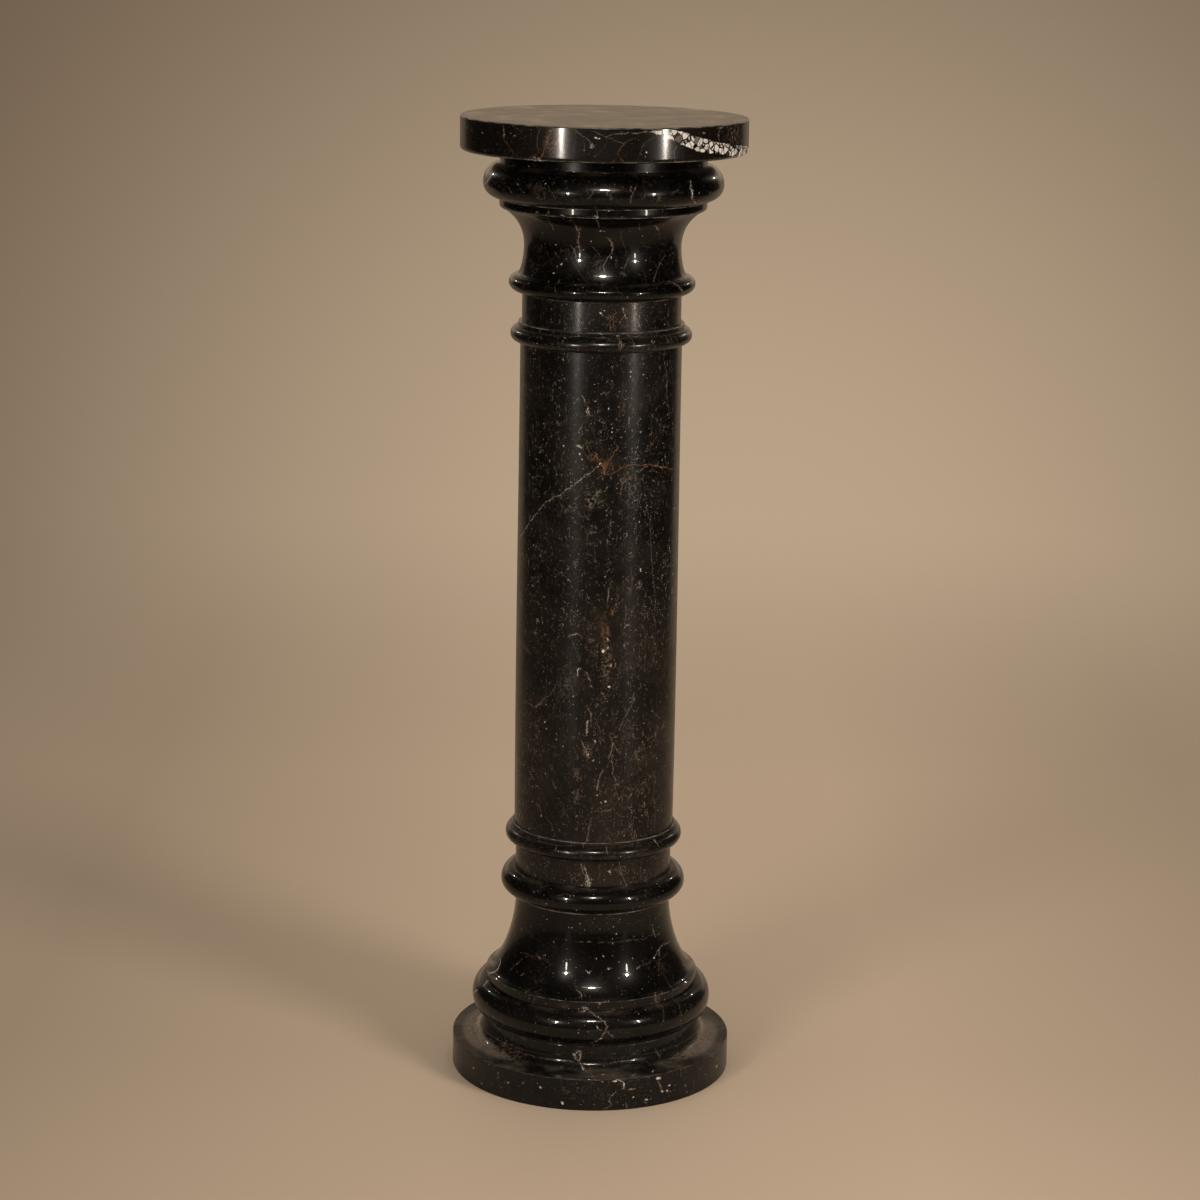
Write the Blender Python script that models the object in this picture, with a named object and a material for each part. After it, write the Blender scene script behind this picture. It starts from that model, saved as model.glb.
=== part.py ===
"""A turned marble pedestal: five round stones that stand on one another about the Z axis.

From the ground up they are the plinth, the base, the shaft, the capital and the round top
slab. Every stone is a closed solid, turned from an outline that runs down its outer side.
Lengths are in metres, +Z is up, and the origin is the middle of the plinth's underside.
"""
import math

import bmesh
import bpy

# Turning: facets round a stone, the gap at each joint, and the angle that counts as an edge
SIDES = 44
JOINT_GAP = 0.0003
MERGE_DISTANCE = 0.00001
EDGE_ANGLE = math.radians(32)

# Steps of each curve along an outline, for one quarter of a roll or the whole of a sweep
ARRIS_STEPS = 1
SOFT_EDGE_STEPS = 3
LIST_STEPS = 2
BIG_ROLL_STEPS = 5
RING_STEPS = 4
BEAD_STEPS = 3
BELL_STEPS = 5
BELL_FOOT_STEPS = 4
COLUMN_STEPS = 5
FLARE_STEPS = 7
COVE_STEPS = 4

# Heights of the joints between the stones, from the ground up
PLINTH_TOP = 0.0602
BASE_TOP = 0.2284
SHAFT_TOP = 0.8602
CAPITAL_TOP = 1.0080
HEIGHT = 1.0438

# Arrises: the small rounding left on a worked edge, and the set-in where two mouldings meet
ARRIS = 0.0009
CREASE = 0.0004

# Top slab
SLAB_RADIUS = 0.1505
SLAB_TOP_ARRIS = 0.0012
SLAB_UNDER_EDGE = 0.0045

# Capital: neck, big roll, list, hollow bell and collar
NECK_RADIUS = 0.1084
ROLL_RADIUS = 0.1262
ROLL_TOP = 0.9952
ROLL_BELLY = 0.9745
ROLL_FOOT = 0.9583
ROLL_FOOT_RADIUS = 0.1082
LIST_RADIUS = 0.1090
LIST_FOOT = 0.9478
LIST_ROUNDING = 0.0042
BELL_HEAD_RADIUS = 0.0998
BELL_HEAD = 0.9443
BELL_HEAD_PULL = (0.0918, 0.9383)
BELL_THROAT_RADIUS = 0.0828
BELL_THROAT = 0.9090
BELL_THROAT_PULL_UP = 0.9270
BELL_THROAT_PULL_DOWN = 0.8970
BELL_FOOT_PULL = (0.0853, 0.8838)
BELL_FOOT_RADIUS = 0.0888
BELL_FOOT = 0.8788
COLLAR_RADIUS = 0.0984
COLLAR_BELLY = 0.8702
COLLAR_FOOT_RADIUS = 0.0845

# Shaft: a band, a fillet and a bead at each end of a long swelling column
BAND_RADIUS = 0.0841
FILLET_HEIGHT = 0.0046
BEAD_HEIGHT = 0.0170
BEAD_SHARE_ABOVE = 0.52
HEAD_FILLET_RADIUS = 0.0881
HEAD_FILLET_TOP = 0.8290
HEAD_BEAD_RADIUS = 0.0961
COLUMN_HEAD_RADIUS = 0.0856
COLUMN_UPPER_PULL = 0.6600
COLUMN_LOWER_PULL = 0.5600
COLUMN_BELLY_RADIUS = 0.0870
COLUMN_BELLY = 0.3650
COLUMN_FOOT_RADIUS = 0.0867
FOOT_FILLET_RADIUS = 0.0890
FOOT_FILLET_TOP = 0.2796
FOOT_BEAD_RADIUS = 0.0962
FOOT_BAND_RADIUS = 0.0850

# Base: collar, flaring bell, step, big roll and its foot
RING_HEAD_RADIUS = 0.0871
RING_RADIUS = 0.1007
RING_BELLY = 0.2125
RING_FOOT = 0.1998
RING_FOOT_RADIUS = 0.0858
FLARE_HEAD_RADIUS = 0.0843
FLARE_HEAD = 0.1994
FLARE_HEAD_PULL = 0.1578
FLARE_FOOT_PULL = (0.1005, 0.1155)
FLARE_FOOT_RADIUS = 0.1145
FLARE_FOOT = 0.1105
STEP_RADIUS = 0.1161
STEP_TOP = 0.1097
STEP_FOOT = 0.0992
TORUS_RADIUS = 0.1313
TORUS_BELLY = 0.0800
TORUS_FOOT = 0.0630
TORUS_FOOT_RADIUS = 0.1190
BASE_FOOT_RADIUS = 0.1172

# Plinth: a short neck that spreads through a cove on to a flat disc
PLINTH_NECK_RADIUS = 0.1190
PLINTH_COVE_RADIUS = 0.1310
PLINTH_RADIUS = 0.1528
PLINTH_DISC_HEIGHT = 0.0355
PLINTH_ARRIS = 0.0010

# Marble of each stone: colour and roughness
SLAB_MARBLE = ((0.020, 0.016, 0.013), 0.10)
CAPITAL_MARBLE = ((0.018, 0.015, 0.012), 0.08)
SHAFT_MARBLE = ((0.030, 0.022, 0.016), 0.10)
BASE_MARBLE = ((0.015, 0.013, 0.011), 0.08)
PLINTH_MARBLE = ((0.024, 0.021, 0.019), 0.16)


def arc(centre, reach, rise, start, end, steps):
    """Points of an elliptical arc between two angles in degrees: 0 is outwards, 90 is up."""
    points = []
    for step in range(steps + 1):
        angle = math.radians(start + (end - start) * step / steps)
        points.append((centre[0] + reach * math.cos(angle), centre[1] + rise * math.sin(angle)))
    return points


def upper_edge(radius, top, rounding, steps):
    """The rounded edge between a flat top and the upright side below it."""
    return arc((radius - rounding, top - rounding), rounding, rounding, 90, 0, steps)


def lower_edge(radius, foot, rounding, steps):
    """The rounded edge between an upright side and the flat face under it."""
    return arc((radius - rounding, foot + rounding), rounding, rounding, 0, -90, steps)


def roll(head, belly, foot, steps):
    """A swelling moulding: out from its head to its belly and back in to its foot."""
    upper = arc((head[0], belly[1]), belly[0] - head[0], head[1] - belly[1], 90, 0, steps)
    lower = arc((foot[0], belly[1]), belly[0] - foot[0], belly[1] - foot[1], 0, -90, steps)
    return upper + lower[1:]


def sweep(start, start_pull, end_pull, end, steps):
    """A smooth curve from start to end that leaves and arrives along its two pulls."""
    corners = (start, start_pull, end_pull, end)
    points = []
    for step in range(steps + 1):
        t = step / steps
        weights = ((1 - t) ** 3, 3 * t * (1 - t) ** 2, 3 * t ** 2 * (1 - t), t ** 3)
        radius = sum(weight * corner[0] for weight, corner in zip(weights, corners))
        height = sum(weight * corner[1] for weight, corner in zip(weights, corners))
        points.append((radius, height))
    return points


def slab_outline():
    """The round top slab, its lower edge softly rounded."""
    outline = upper_edge(SLAB_RADIUS, HEIGHT, SLAB_TOP_ARRIS, ARRIS_STEPS)
    outline += lower_edge(SLAB_RADIUS, CAPITAL_TOP, SLAB_UNDER_EDGE, SOFT_EDGE_STEPS)
    return outline


def capital_outline():
    """Neck, big roll, list, hollow bell and collar."""
    throat = (BELL_THROAT_RADIUS, BELL_THROAT)
    outline = [(NECK_RADIUS, CAPITAL_TOP - JOINT_GAP)]
    outline += roll((NECK_RADIUS, ROLL_TOP), (ROLL_RADIUS, ROLL_BELLY),
                    (ROLL_FOOT_RADIUS, ROLL_FOOT), BIG_ROLL_STEPS)
    outline += [(LIST_RADIUS, ROLL_FOOT - CREASE)]
    outline += lower_edge(LIST_RADIUS, LIST_FOOT, LIST_ROUNDING, LIST_STEPS)
    outline += sweep((BELL_HEAD_RADIUS, BELL_HEAD), BELL_HEAD_PULL,
                     (BELL_THROAT_RADIUS, BELL_THROAT_PULL_UP), throat, BELL_STEPS)
    outline += sweep(throat, (BELL_THROAT_RADIUS, BELL_THROAT_PULL_DOWN), BELL_FOOT_PULL,
                     (BELL_FOOT_RADIUS, BELL_FOOT), BELL_FOOT_STEPS)[1:]
    outline += roll((BELL_FOOT_RADIUS, BELL_FOOT), (COLLAR_RADIUS, COLLAR_BELLY),
                    (COLLAR_FOOT_RADIUS, SHAFT_TOP), BEAD_STEPS)[1:]
    return outline


def fillet_and_bead(fillet_radius, fillet_top, bead_radius, foot_radius):
    """A thin fillet with a soft arris, and the bead under it."""
    fillet_foot = fillet_top - FILLET_HEIGHT
    belly = (bead_radius, fillet_foot - BEAD_HEIGHT * BEAD_SHARE_ABOVE)
    bead_foot = (foot_radius, fillet_foot - BEAD_HEIGHT)
    fillet = upper_edge(fillet_radius, fillet_top, ARRIS, ARRIS_STEPS)
    return fillet + roll((fillet_radius - CREASE, fillet_foot), belly, bead_foot, BEAD_STEPS)


def shaft_outline():
    """Band, fillet and bead, a column that swells a little, then fillet, bead and band again."""
    belly = (COLUMN_BELLY_RADIUS, COLUMN_BELLY)
    outline = upper_edge(BAND_RADIUS, SHAFT_TOP - JOINT_GAP, ARRIS, ARRIS_STEPS)
    outline += [(BAND_RADIUS, HEAD_FILLET_TOP)]
    outline += fillet_and_bead(HEAD_FILLET_RADIUS, HEAD_FILLET_TOP, HEAD_BEAD_RADIUS,
                               COLUMN_HEAD_RADIUS)
    outline += sweep(outline[-1], (COLUMN_HEAD_RADIUS, COLUMN_UPPER_PULL),
                     (COLUMN_BELLY_RADIUS, COLUMN_LOWER_PULL), belly, COLUMN_STEPS)[1:]
    outline += [(COLUMN_FOOT_RADIUS, FOOT_FILLET_TOP)]
    outline += fillet_and_bead(FOOT_FILLET_RADIUS, FOOT_FILLET_TOP, FOOT_BEAD_RADIUS,
                               FOOT_BAND_RADIUS)
    outline += [(FOOT_BAND_RADIUS, BASE_TOP)]
    return outline


def base_outline():
    """Collar, flaring bell, step and big roll, with a short foot that is set in under it."""
    outline = roll((RING_HEAD_RADIUS, BASE_TOP - JOINT_GAP), (RING_RADIUS, RING_BELLY),
                   (RING_FOOT_RADIUS, RING_FOOT), RING_STEPS)
    outline += sweep((FLARE_HEAD_RADIUS, FLARE_HEAD), (FLARE_HEAD_RADIUS, FLARE_HEAD_PULL),
                     FLARE_FOOT_PULL, (FLARE_FOOT_RADIUS, FLARE_FOOT), FLARE_STEPS)
    outline += [(STEP_RADIUS, STEP_TOP)]
    outline += roll((STEP_RADIUS, STEP_FOOT), (TORUS_RADIUS, TORUS_BELLY),
                    (TORUS_FOOT_RADIUS, TORUS_FOOT), BIG_ROLL_STEPS)
    outline += [(BASE_FOOT_RADIUS, TORUS_FOOT), (BASE_FOOT_RADIUS, PLINTH_TOP)]
    return outline


def plinth_outline():
    """A short neck, a quarter cove and the flat disc that stands on the ground."""
    spread = PLINTH_COVE_RADIUS - PLINTH_NECK_RADIUS
    cove_centre = (PLINTH_COVE_RADIUS, PLINTH_DISC_HEIGHT + spread)
    outline = upper_edge(PLINTH_NECK_RADIUS, PLINTH_TOP - JOINT_GAP, PLINTH_ARRIS, ARRIS_STEPS)
    outline += arc(cove_centre, spread, spread, 180, 270, COVE_STEPS)
    outline += upper_edge(PLINTH_RADIUS, PLINTH_DISC_HEIGHT, PLINTH_ARRIS, ARRIS_STEPS)
    outline += lower_edge(PLINTH_RADIUS, 0.0, PLINTH_ARRIS, ARRIS_STEPS)
    return outline


def marble(name, look):
    """A polished marble from its colour and roughness."""
    colour, roughness = look
    material = bpy.data.materials.new(name)
    material.use_nodes = True
    shader = material.node_tree.nodes["Principled BSDF"]
    shader.inputs["Base Color"].default_value = (*colour, 1.0)
    shader.inputs["Roughness"].default_value = roughness
    shader.inputs["Metallic"].default_value = 0.0
    material.diffuse_color = (*colour, 1.0)
    return material


def turned(name, outline, look):
    """Turn an outline, given from its top rim down, about Z and close it with two flat faces."""
    shape = bmesh.new()
    points = [shape.verts.new((radius, 0.0, height)) for radius, height in outline]
    edges = [shape.edges.new(pair) for pair in zip(points, points[1:])]
    bmesh.ops.spin(shape, geom=points + edges, cent=(0, 0, 0), axis=(0, 0, 1),
                   angle=2 * math.pi, steps=SIDES, use_merge=True)
    bmesh.ops.remove_doubles(shape, verts=shape.verts[:], dist=MERGE_DISTANCE)
    rims = [edge for edge in shape.edges if edge.is_boundary]
    bmesh.ops.holes_fill(shape, edges=rims, sides=0)
    bmesh.ops.recalc_face_normals(shape, faces=shape.faces[:])
    mesh = bpy.data.meshes.new(name)
    shape.to_mesh(mesh)
    shape.free()
    mesh.shade_smooth()
    mesh.set_sharp_from_angle(angle=EDGE_ANGLE)
    mesh.materials.append(marble(name + "_marble", look))
    bpy.context.scene.collection.objects.link(bpy.data.objects.new(name, mesh))


def main():
    """Clear the scene and turn the five stones."""
    for old in list(bpy.data.objects):
        bpy.data.objects.remove(old, do_unlink=True)
    turned("top_slab", slab_outline(), SLAB_MARBLE)
    turned("capital", capital_outline(), CAPITAL_MARBLE)
    turned("shaft", shaft_outline(), SHAFT_MARBLE)
    turned("base", base_outline(), BASE_MARBLE)
    turned("plinth", plinth_outline(), PLINTH_MARBLE)


main()
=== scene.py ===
"""A turned marble pedestal: the finish of its five stones, and the studio that shows them.

Each stone is turned again on a finer lathe than the solid it stands for, from the same named
sizes, and is dressed in black marble: clouded ground, flecks, hair seams, the larger veins that
the piece is known by, dust in the hollows, and pale lines along the edges that are partly rubbed
stone and partly painted highlight.
"""

import logging
import math
from dataclasses import dataclass
from enum import Enum
from functools import cache
from typing import ClassVar

import bmesh
import bpy
from mathutils import Matrix, Vector


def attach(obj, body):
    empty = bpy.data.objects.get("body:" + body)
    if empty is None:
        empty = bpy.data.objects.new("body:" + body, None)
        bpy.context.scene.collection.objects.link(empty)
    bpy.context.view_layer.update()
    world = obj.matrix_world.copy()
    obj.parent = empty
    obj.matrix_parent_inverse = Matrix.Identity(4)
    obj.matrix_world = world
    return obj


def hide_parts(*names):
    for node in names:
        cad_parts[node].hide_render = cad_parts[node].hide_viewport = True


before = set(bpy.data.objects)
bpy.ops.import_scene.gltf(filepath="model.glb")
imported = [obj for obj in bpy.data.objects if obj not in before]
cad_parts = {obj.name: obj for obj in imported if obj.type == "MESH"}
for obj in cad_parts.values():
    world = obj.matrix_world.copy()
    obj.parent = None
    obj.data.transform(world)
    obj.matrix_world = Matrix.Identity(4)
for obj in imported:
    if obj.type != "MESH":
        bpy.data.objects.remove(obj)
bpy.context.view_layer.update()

LOG = logging.getLogger("pedestal")
MM = 0.001

Point = tuple[float, float]
Socket = bpy.types.NodeSocket
Colour = tuple[float, float, float]
Ramp = tuple[float, float, float, float]
Oval = tuple[float, float, float, float]


class Tint(Enum):
    """What fills the seams, flecks and hollows and lies on the edges, as linear colours; some also stand for
    painted highlight and painted reflection.
    """

    CHALK = (0.74, 0.72, 0.68)
    WHITE = (0.74, 0.69, 0.62)
    CREAM = (0.30, 0.25, 0.195)
    TAN = (0.14, 0.10, 0.068)
    ROSE = (0.19, 0.13, 0.10)
    RUST = (0.27, 0.145, 0.080)
    GREY = (0.085, 0.078, 0.072)
    BLACK = (0.0028, 0.0026, 0.0024)
    # Tan film: dust, and on the plinth's flat towards the left and right also painted reflection.
    DUST_AND_SHEEN = (0.52, 0.425, 0.335)
    # Pale edge line: partly rubbed stone, partly painted highlight along the arrises.
    WORN_AND_HIGHLIT = (0.40, 0.385, 0.36)


class Grain(Enum):
    """How finely a patch is speckled, in specks a metre."""

    SOLID = 0.0
    FINE = 520.0
    COARSE = 300.0


@dataclass(frozen=True)
class Vein:
    """A seam of another mineral, seen as a line on the turned face.

    Its path is a few given points: degrees round from the front, positive to the
    right, and millimetres down the face from the stone's top rim, or less than zero inwards
    from it on the flat top. Width is in millimetres.
    """

    path: tuple[Point, ...]
    tint: Tint = Tint.CREAM
    width: float = 1.0
    strength: float = 0.8
    broken: float = 0.4

    def runs_down(self) -> bool:
        """True if the path goes steadily down the face, so that its angle is a curve of its depth."""
        steps = [after[1] - before[1] for before, after in zip(self.path, self.path[1:])]
        return all(step > 0 for step in steps)


@dataclass(frozen=True)
class Patch:
    """An oval area of mineral: its middle as a vein's point, half width and half height in mm."""

    middle: Point
    reach: Point
    tint: Tint = Tint.CREAM
    strength: float = 0.85
    grain: Grain = Grain.SOLID


def spots(tint: Tint, *ovals: Oval) -> tuple[Patch, ...]:
    """Return small solid patches, each given by its middle, its half width and its half height."""
    return tuple(Patch((turn, down), (wide, tall), tint) for turn, down, wide, tall in ovals)


@dataclass(frozen=True)
class Band:
    """A crushed white band between two edges, each a path of points as a vein's is.

    Clast is how many broken pieces there are to a metre.
    """

    upper: tuple[Point, ...]
    lower: tuple[Point, ...]
    clast: float = 160.0


@dataclass(frozen=True)
class Marble:
    """One block of stone: its ground, its clouds, its flecks, its polish and what crosses it."""

    ground: Colour = (0.0016, 0.0014, 0.0013)
    cloud: Colour = (0.0052, 0.0044, 0.0038)
    cloud_share: float = 0.7
    shine: float = 0.08
    roughness: float = 0.27
    polish: float = 0.42
    polish_roughness: float = 0.03
    flecks: float = 0.85
    sparks: float = 0.0
    speckle: float = 0.12
    tangle: float = 0.22
    streaks: float = 1.0
    dust: float = 0.07
    dust_cover: float = 0.0
    # How strong the pale edge line is: partly rubbed stone, partly painted highlight.
    wear_and_highlight: float = 0.6
    veins: tuple[Vein, ...] = ()
    patches: tuple[Patch, ...] = ()
    bands: tuple[Band, ...] = ()


class Profile:
    """The outline of a stone, from the axis on top, down its outer side, to the axis below.

    Creases and arrises are remembered, for the dust and for the pale edge line, which is partly rubbed stone
    and partly painted highlight.
    """

    GUARD: ClassVar[float] = 0.0003
    MEETING: ClassVar[float] = 1e-7

    def __init__(self, top: float) -> None:
        """Start on the axis.

        Args:
            top: Height of the stone's upper face.
        """
        self.points: list[Point] = [(0.0, top)]
        self.rim = 0
        self.creases: list[int] = []
        self.arrises: dict[int, float] = {}

    def to(self, radius: float, height: float) -> None:
        """Go straight to one point.

        A long run gets a point close to each end, so that rounding beside it leaves it flat.

        Args:
            radius: The point's distance from the axis.
            height: The point's height.
        """
        start, end = Vector(self.points[-1]), Vector((radius, height))
        if (end - start).length < self.MEETING:
            return
        if (end - start).length > 4 * self.GUARD:
            step = (end - start).normalized() * self.GUARD
            self.points.append(tuple(start + step))
            self.points.append(tuple(end - step))
        self.points.append((radius, height))

    def set_rim(self) -> None:
        """Count distances down the face from the last point."""
        self.rim = len(self.points) - 1

    def crease(self) -> None:
        """Note the last point as a hollow corner, where dust settles."""
        self.creases.append(len(self.points) - 1)

    def arris(self, back: int = 0, share: float = 1.0) -> None:
        """Note a point as a standing edge, which gets the pale edge line: partly rubbed stone, partly
        painted highlight.

        Args:
            back: How many points it lies before the last.
            share: How much of the stone's edge line, rubbing and painted highlight, it takes.
        """
        self.arrises[len(self.points) - 1 - back] = share

    def arc(self, centre: Point, reach: float, rise: float, start: float, end: float,
            steps: int) -> None:
        """Follow an elliptical arc.

        Args:
            centre: Radius and height of its middle.
            reach: Its half width.
            rise: Its half height.
            start: Angle it starts at, in degrees: 0 is outwards, 90 is up.
            end: Angle it ends at.
            steps: Number of straight steps it is cut into.
        """
        for step in range(steps + 1):
            angle = math.radians(start + (end - start) * step / steps)
            point = (centre[0] + reach * math.cos(angle), centre[1] + rise * math.sin(angle))
            if step == 0:
                self.to(*point)
            else:
                self.points.append(point)

    def upper_edge(self, radius: float, top: float, rounding: float, steps: int = 5) -> None:
        """Round the edge between a flat top and the upright side below it."""
        self.arc((radius - rounding, top - rounding), rounding, rounding, 90, 0, steps)
        self.arris(steps // 2)

    def lower_edge(self, radius: float, foot: float, rounding: float, steps: int = 5) -> None:
        """Round the edge between an upright side and the flat face under it."""
        self.arc((radius - rounding, foot + rounding), rounding, rounding, 0, -90, steps)
        self.arris(steps // 2)

    def roll(self, head: Point, belly: Point, foot: Point, steps: int = 16) -> None:
        """Follow a swelling moulding out from its head to its belly and back in to its foot."""
        self.arc((head[0], belly[1]), belly[0] - head[0], head[1] - belly[1], 90, 0, steps)
        self.arc((foot[0], belly[1]), belly[0] - foot[0], belly[1] - foot[1], 0, -90, steps)

    def sweep(self, start: Point, start_pull: Point, end_pull: Point, end: Point,
              steps: int = 28) -> None:
        """Follow a smooth curve.

        Args:
            start: Where it starts.
            start_pull: The point that it leaves towards.
            end_pull: The point that it arrives from.
            end: Where it ends.
            steps: Number of straight steps it is cut into.
        """
        corners = (start, start_pull, end_pull, end)
        for step in range(steps + 1):
            t = step / steps
            weights = ((1 - t) ** 3, 3 * t * (1 - t) ** 2, 3 * t ** 2 * (1 - t), t ** 3)
            radius = sum(weight * corner[0] for weight, corner in zip(weights, corners))
            height = sum(weight * corner[1] for weight, corner in zip(weights, corners))
            if math.dist((radius, height), self.points[-1]) > self.MEETING:
                self.points.append((radius, height))

    def close(self) -> None:
        """Run flat in to the axis."""
        self.to(0.0, self.points[-1][1])

    def down(self) -> list[float]:
        """Measure the way down the face.

        Returns:
            Each point's distance from the rim in millimetres, less than zero on the flat top.
        """
        runs = [0.0]
        for before, after in zip(self.points, self.points[1:]):
            runs.append(runs[-1] + math.dist(before, after))
        return [(run - runs[self.rim]) / MM for run in runs]


class Bench:
    """A material's node tree, with one method for each kind of step that a finish needs."""

    def __init__(self, name: str) -> None:
        """Start an empty material.

        Args:
            name: The material's name.
        """
        self.material = bpy.data.materials.new(name)
        self.material.use_nodes = True
        self.tree = self.material.node_tree
        self.shader = self.tree.nodes["Principled BSDF"]

    @classmethod
    def for_tree(cls, tree: bpy.types.NodeTree) -> "Bench":
        """Work on a node tree that is already there.

        Args:
            tree: The node tree.

        Returns:
            A bench that adds its nodes to the tree.
        """
        bench = cls.__new__(cls)
        bench.tree = tree
        return bench

    @classmethod
    def for_group(cls, name: str, given: tuple[str, ...]) -> tuple["Bench", dict[str, Socket], Socket]:
        """Start a node group of numbers with one result.

        Args:
            name: The group's name.
            given: The names of its inputs.

        Returns:
            A bench for its tree, its inputs by name, and the socket that takes its result.
        """
        tree = bpy.data.node_groups.new(name, "ShaderNodeTree")
        for label in given:
            tree.interface.new_socket(name=label, in_out="INPUT", socket_type="NodeSocketFloat")
        tree.interface.new_socket(name="Result", in_out="OUTPUT", socket_type="NodeSocketFloat")
        entry = tree.nodes.new("NodeGroupInput")
        leave = tree.nodes.new("NodeGroupOutput")
        return cls.for_tree(tree), {label: entry.outputs[label] for label in given}, leave.inputs[0]

    def stencil(self, group: bpy.types.NodeTree, inputs: dict[str, object]) -> Socket:
        """Use a node group.

        Args:
            group: The group's tree.
            inputs: Values or sockets for its inputs, by name.

        Returns:
            Its result.
        """
        made = self.tree.nodes.new("ShaderNodeGroup")
        made.node_tree = group
        for key, value in inputs.items():
            self.wire(made.inputs[key], value)
        return made.outputs[0]

    def node(self, kind: str, inputs: dict[str | int, object] | None = None,
             **settings: object) -> bpy.types.Node:
        """Add a node.

        Args:
            kind: Its type, without the ShaderNode prefix.
            inputs: Values or sockets for its inputs, by name or number.
            settings: Its own properties.

        Returns:
            The new node.
        """
        made = self.tree.nodes.new("ShaderNode" + kind)
        for key, value in settings.items():
            setattr(made, key, value)
        for key, value in (inputs or {}).items():
            self.wire(made.inputs[key], value)
        return made

    def wire(self, target: Socket, value: object) -> None:
        """Give an input its value.

        Args:
            target: The input.
            value: A socket to link to it, or a plain value.
        """
        if isinstance(value, bpy.types.NodeSocket):
            self.tree.links.new(value, target)
        else:
            target.default_value = value

    def calc(self, operation: str, *values: object, clamp: bool = False) -> Socket:
        """Return the result of one math operation on up to three values."""
        inputs = dict(enumerate(values))
        return self.node("Math", inputs, operation=operation, use_clamp=clamp).outputs[0]

    def ease(self, value: object, low: object, high: object) -> Socket:
        """Return 0 at low and 1 at high, smooth between them; low may be the larger."""
        inputs = {"Value": value, "From Min": low, "From Max": high}
        return self.node("MapRange", inputs, interpolation_type="SMOOTHSTEP").outputs["Result"]

    def span(self, value: object, low: float, high: float, to_low: float,
             to_high: float) -> Socket:
        """Carry a value in a straight line from one range to another.

        Args:
            value: The value, held at the ends of the first range.
            low: Where the first range starts.
            high: Where it ends.
            to_low: What its start becomes.
            to_high: What its end becomes.

        Returns:
            The value in the second range.
        """
        inputs = {"Value": value, "From Min": low, "From Max": high,
                  "To Min": to_low, "To Max": to_high}
        return self.node("MapRange", inputs, clamp=True).outputs["Result"]

    def blend(self, under: object, over: object, share: object) -> Socket:
        """Lay one colour over another.

        Args:
            under: The lower colour, as a socket or as three numbers.
            over: The upper colour, likewise.
            share: How much of the upper colour shows.

        Returns:
            The mixed colour.
        """
        made = self.node("Mix", data_type="RGBA")
        for slot, value in zip(("Factor", "A", "B"), (share, under, over)):
            kind = "VALUE" if slot == "Factor" else "RGBA"
            socket = next(s for s in made.inputs if s.name == slot and s.type == kind)
            self.wire(socket, (*value, 1.0) if isinstance(value, tuple) else value)
        return next(s for s in made.outputs if s.type == "RGBA")

    def noise(self, place: Socket, scale: float, detail: float = 3.0, roughness: float = 0.5,
              distortion: float = 0.0) -> bpy.types.Node:
        """Add a noise.

        Args:
            place: Where it is read.
            scale: How many waves there are to a metre.
            detail: How many finer layers it has.
            roughness: How strong the finer layers are.
            distortion: How far it is bent.

        Returns:
            The noise node.
        """
        inputs = {"Vector": place, "Scale": scale, "Detail": detail, "Roughness": roughness,
                  "Distortion": distortion}
        return self.node("TexNoise", inputs)

    def cells(self, place: Socket, scale: float, feature: str = "F1") -> bpy.types.Node:
        """Return a Voronoi node, scale counted in cells a metre."""
        return self.node("TexVoronoi", {"Vector": place, "Scale": scale}, feature=feature)

    def follow(self, value: Socket, path: list[Point]) -> Socket:
        """Return the height of a path above value, straight from point to point.

        Args:
            value: Where along the path, in its own units.
            path: Its points, in order of their first number.

        Returns:
            The path's second number there, held at its ends.
        """
        first, last = path[0][0], path[-1][0]
        low = min(point[1] for point in path)
        high = max(max(point[1] for point in path), low + 0.001)
        curve_node = self.node("FloatCurve", {"Value": self.span(value, first, last, 0.0, 1.0)})
        mapping = curve_node.mapping
        curve = mapping.curves[0]
        knots = [((x - first) / (last - first), (y - low) / (high - low)) for x, y in path]
        curve.points[0].location = knots[0]
        curve.points[1].location = knots[-1]
        for knot in knots[1:-1]:
            curve.points.new(*knot)
        for point in curve.points:
            point.handle_type = "VECTOR"
        mapping.update()
        return self.calc("MULTIPLY_ADD", curve_node.outputs[0], high - low, low)


@cache
def line_stencil() -> bpy.types.NodeTree:
    """Make the group that adds one line of mineral to what is already drawn.

    Aside is compared with Path, and the line lives within Reach of Middle along its length. A
    bright core has hair seams beside it.

    Returns:
        The group's tree.
    """
    names = ("Along", "Aside", "Path", "Scale", "Swell", "Gaps", "Hair", "Half", "Middle", "Reach",
             "Soft", "Strength", "Broken", "Under")
    bench, given, result = Bench.for_group("line", names)
    away = bench.calc("SUBTRACT", given["Aside"], given["Path"])
    away = bench.calc("ABSOLUTE", bench.calc("MULTIPLY", away, given["Scale"]))
    beside = bench.ease(away, bench.calc("MULTIPLY", given["Half"], 7.0), given["Half"])
    beside = bench.calc("MULTIPLY", beside, given["Hair"])
    core = bench.ease(bench.calc("DIVIDE", away, given["Swell"]),
                      bench.calc("MULTIPLY", given["Half"], 1.45),
                      bench.calc("MULTIPLY", given["Half"], 0.25))
    past = bench.calc("ABSOLUTE", bench.calc("SUBTRACT", given["Along"], given["Middle"]))
    alive = bench.ease(past, bench.calc("MULTIPLY_ADD", given["Soft"], 0.4, given["Reach"]),
                       bench.calc("MULTIPLY_ADD", given["Soft"], -0.6, given["Reach"]))
    shown = bench.calc("MULTIPLY", bench.calc("MAXIMUM", core, beside), alive)
    shown = bench.calc("MULTIPLY", shown, given["Strength"])
    lost = bench.calc("MULTIPLY", bench.calc("MULTIPLY", shown, given["Gaps"]), given["Broken"])
    shown = bench.calc("SUBTRACT", shown, lost)
    bench.wire(result, bench.calc("MAXIMUM", shown, given["Under"]))
    return bench.tree


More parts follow.
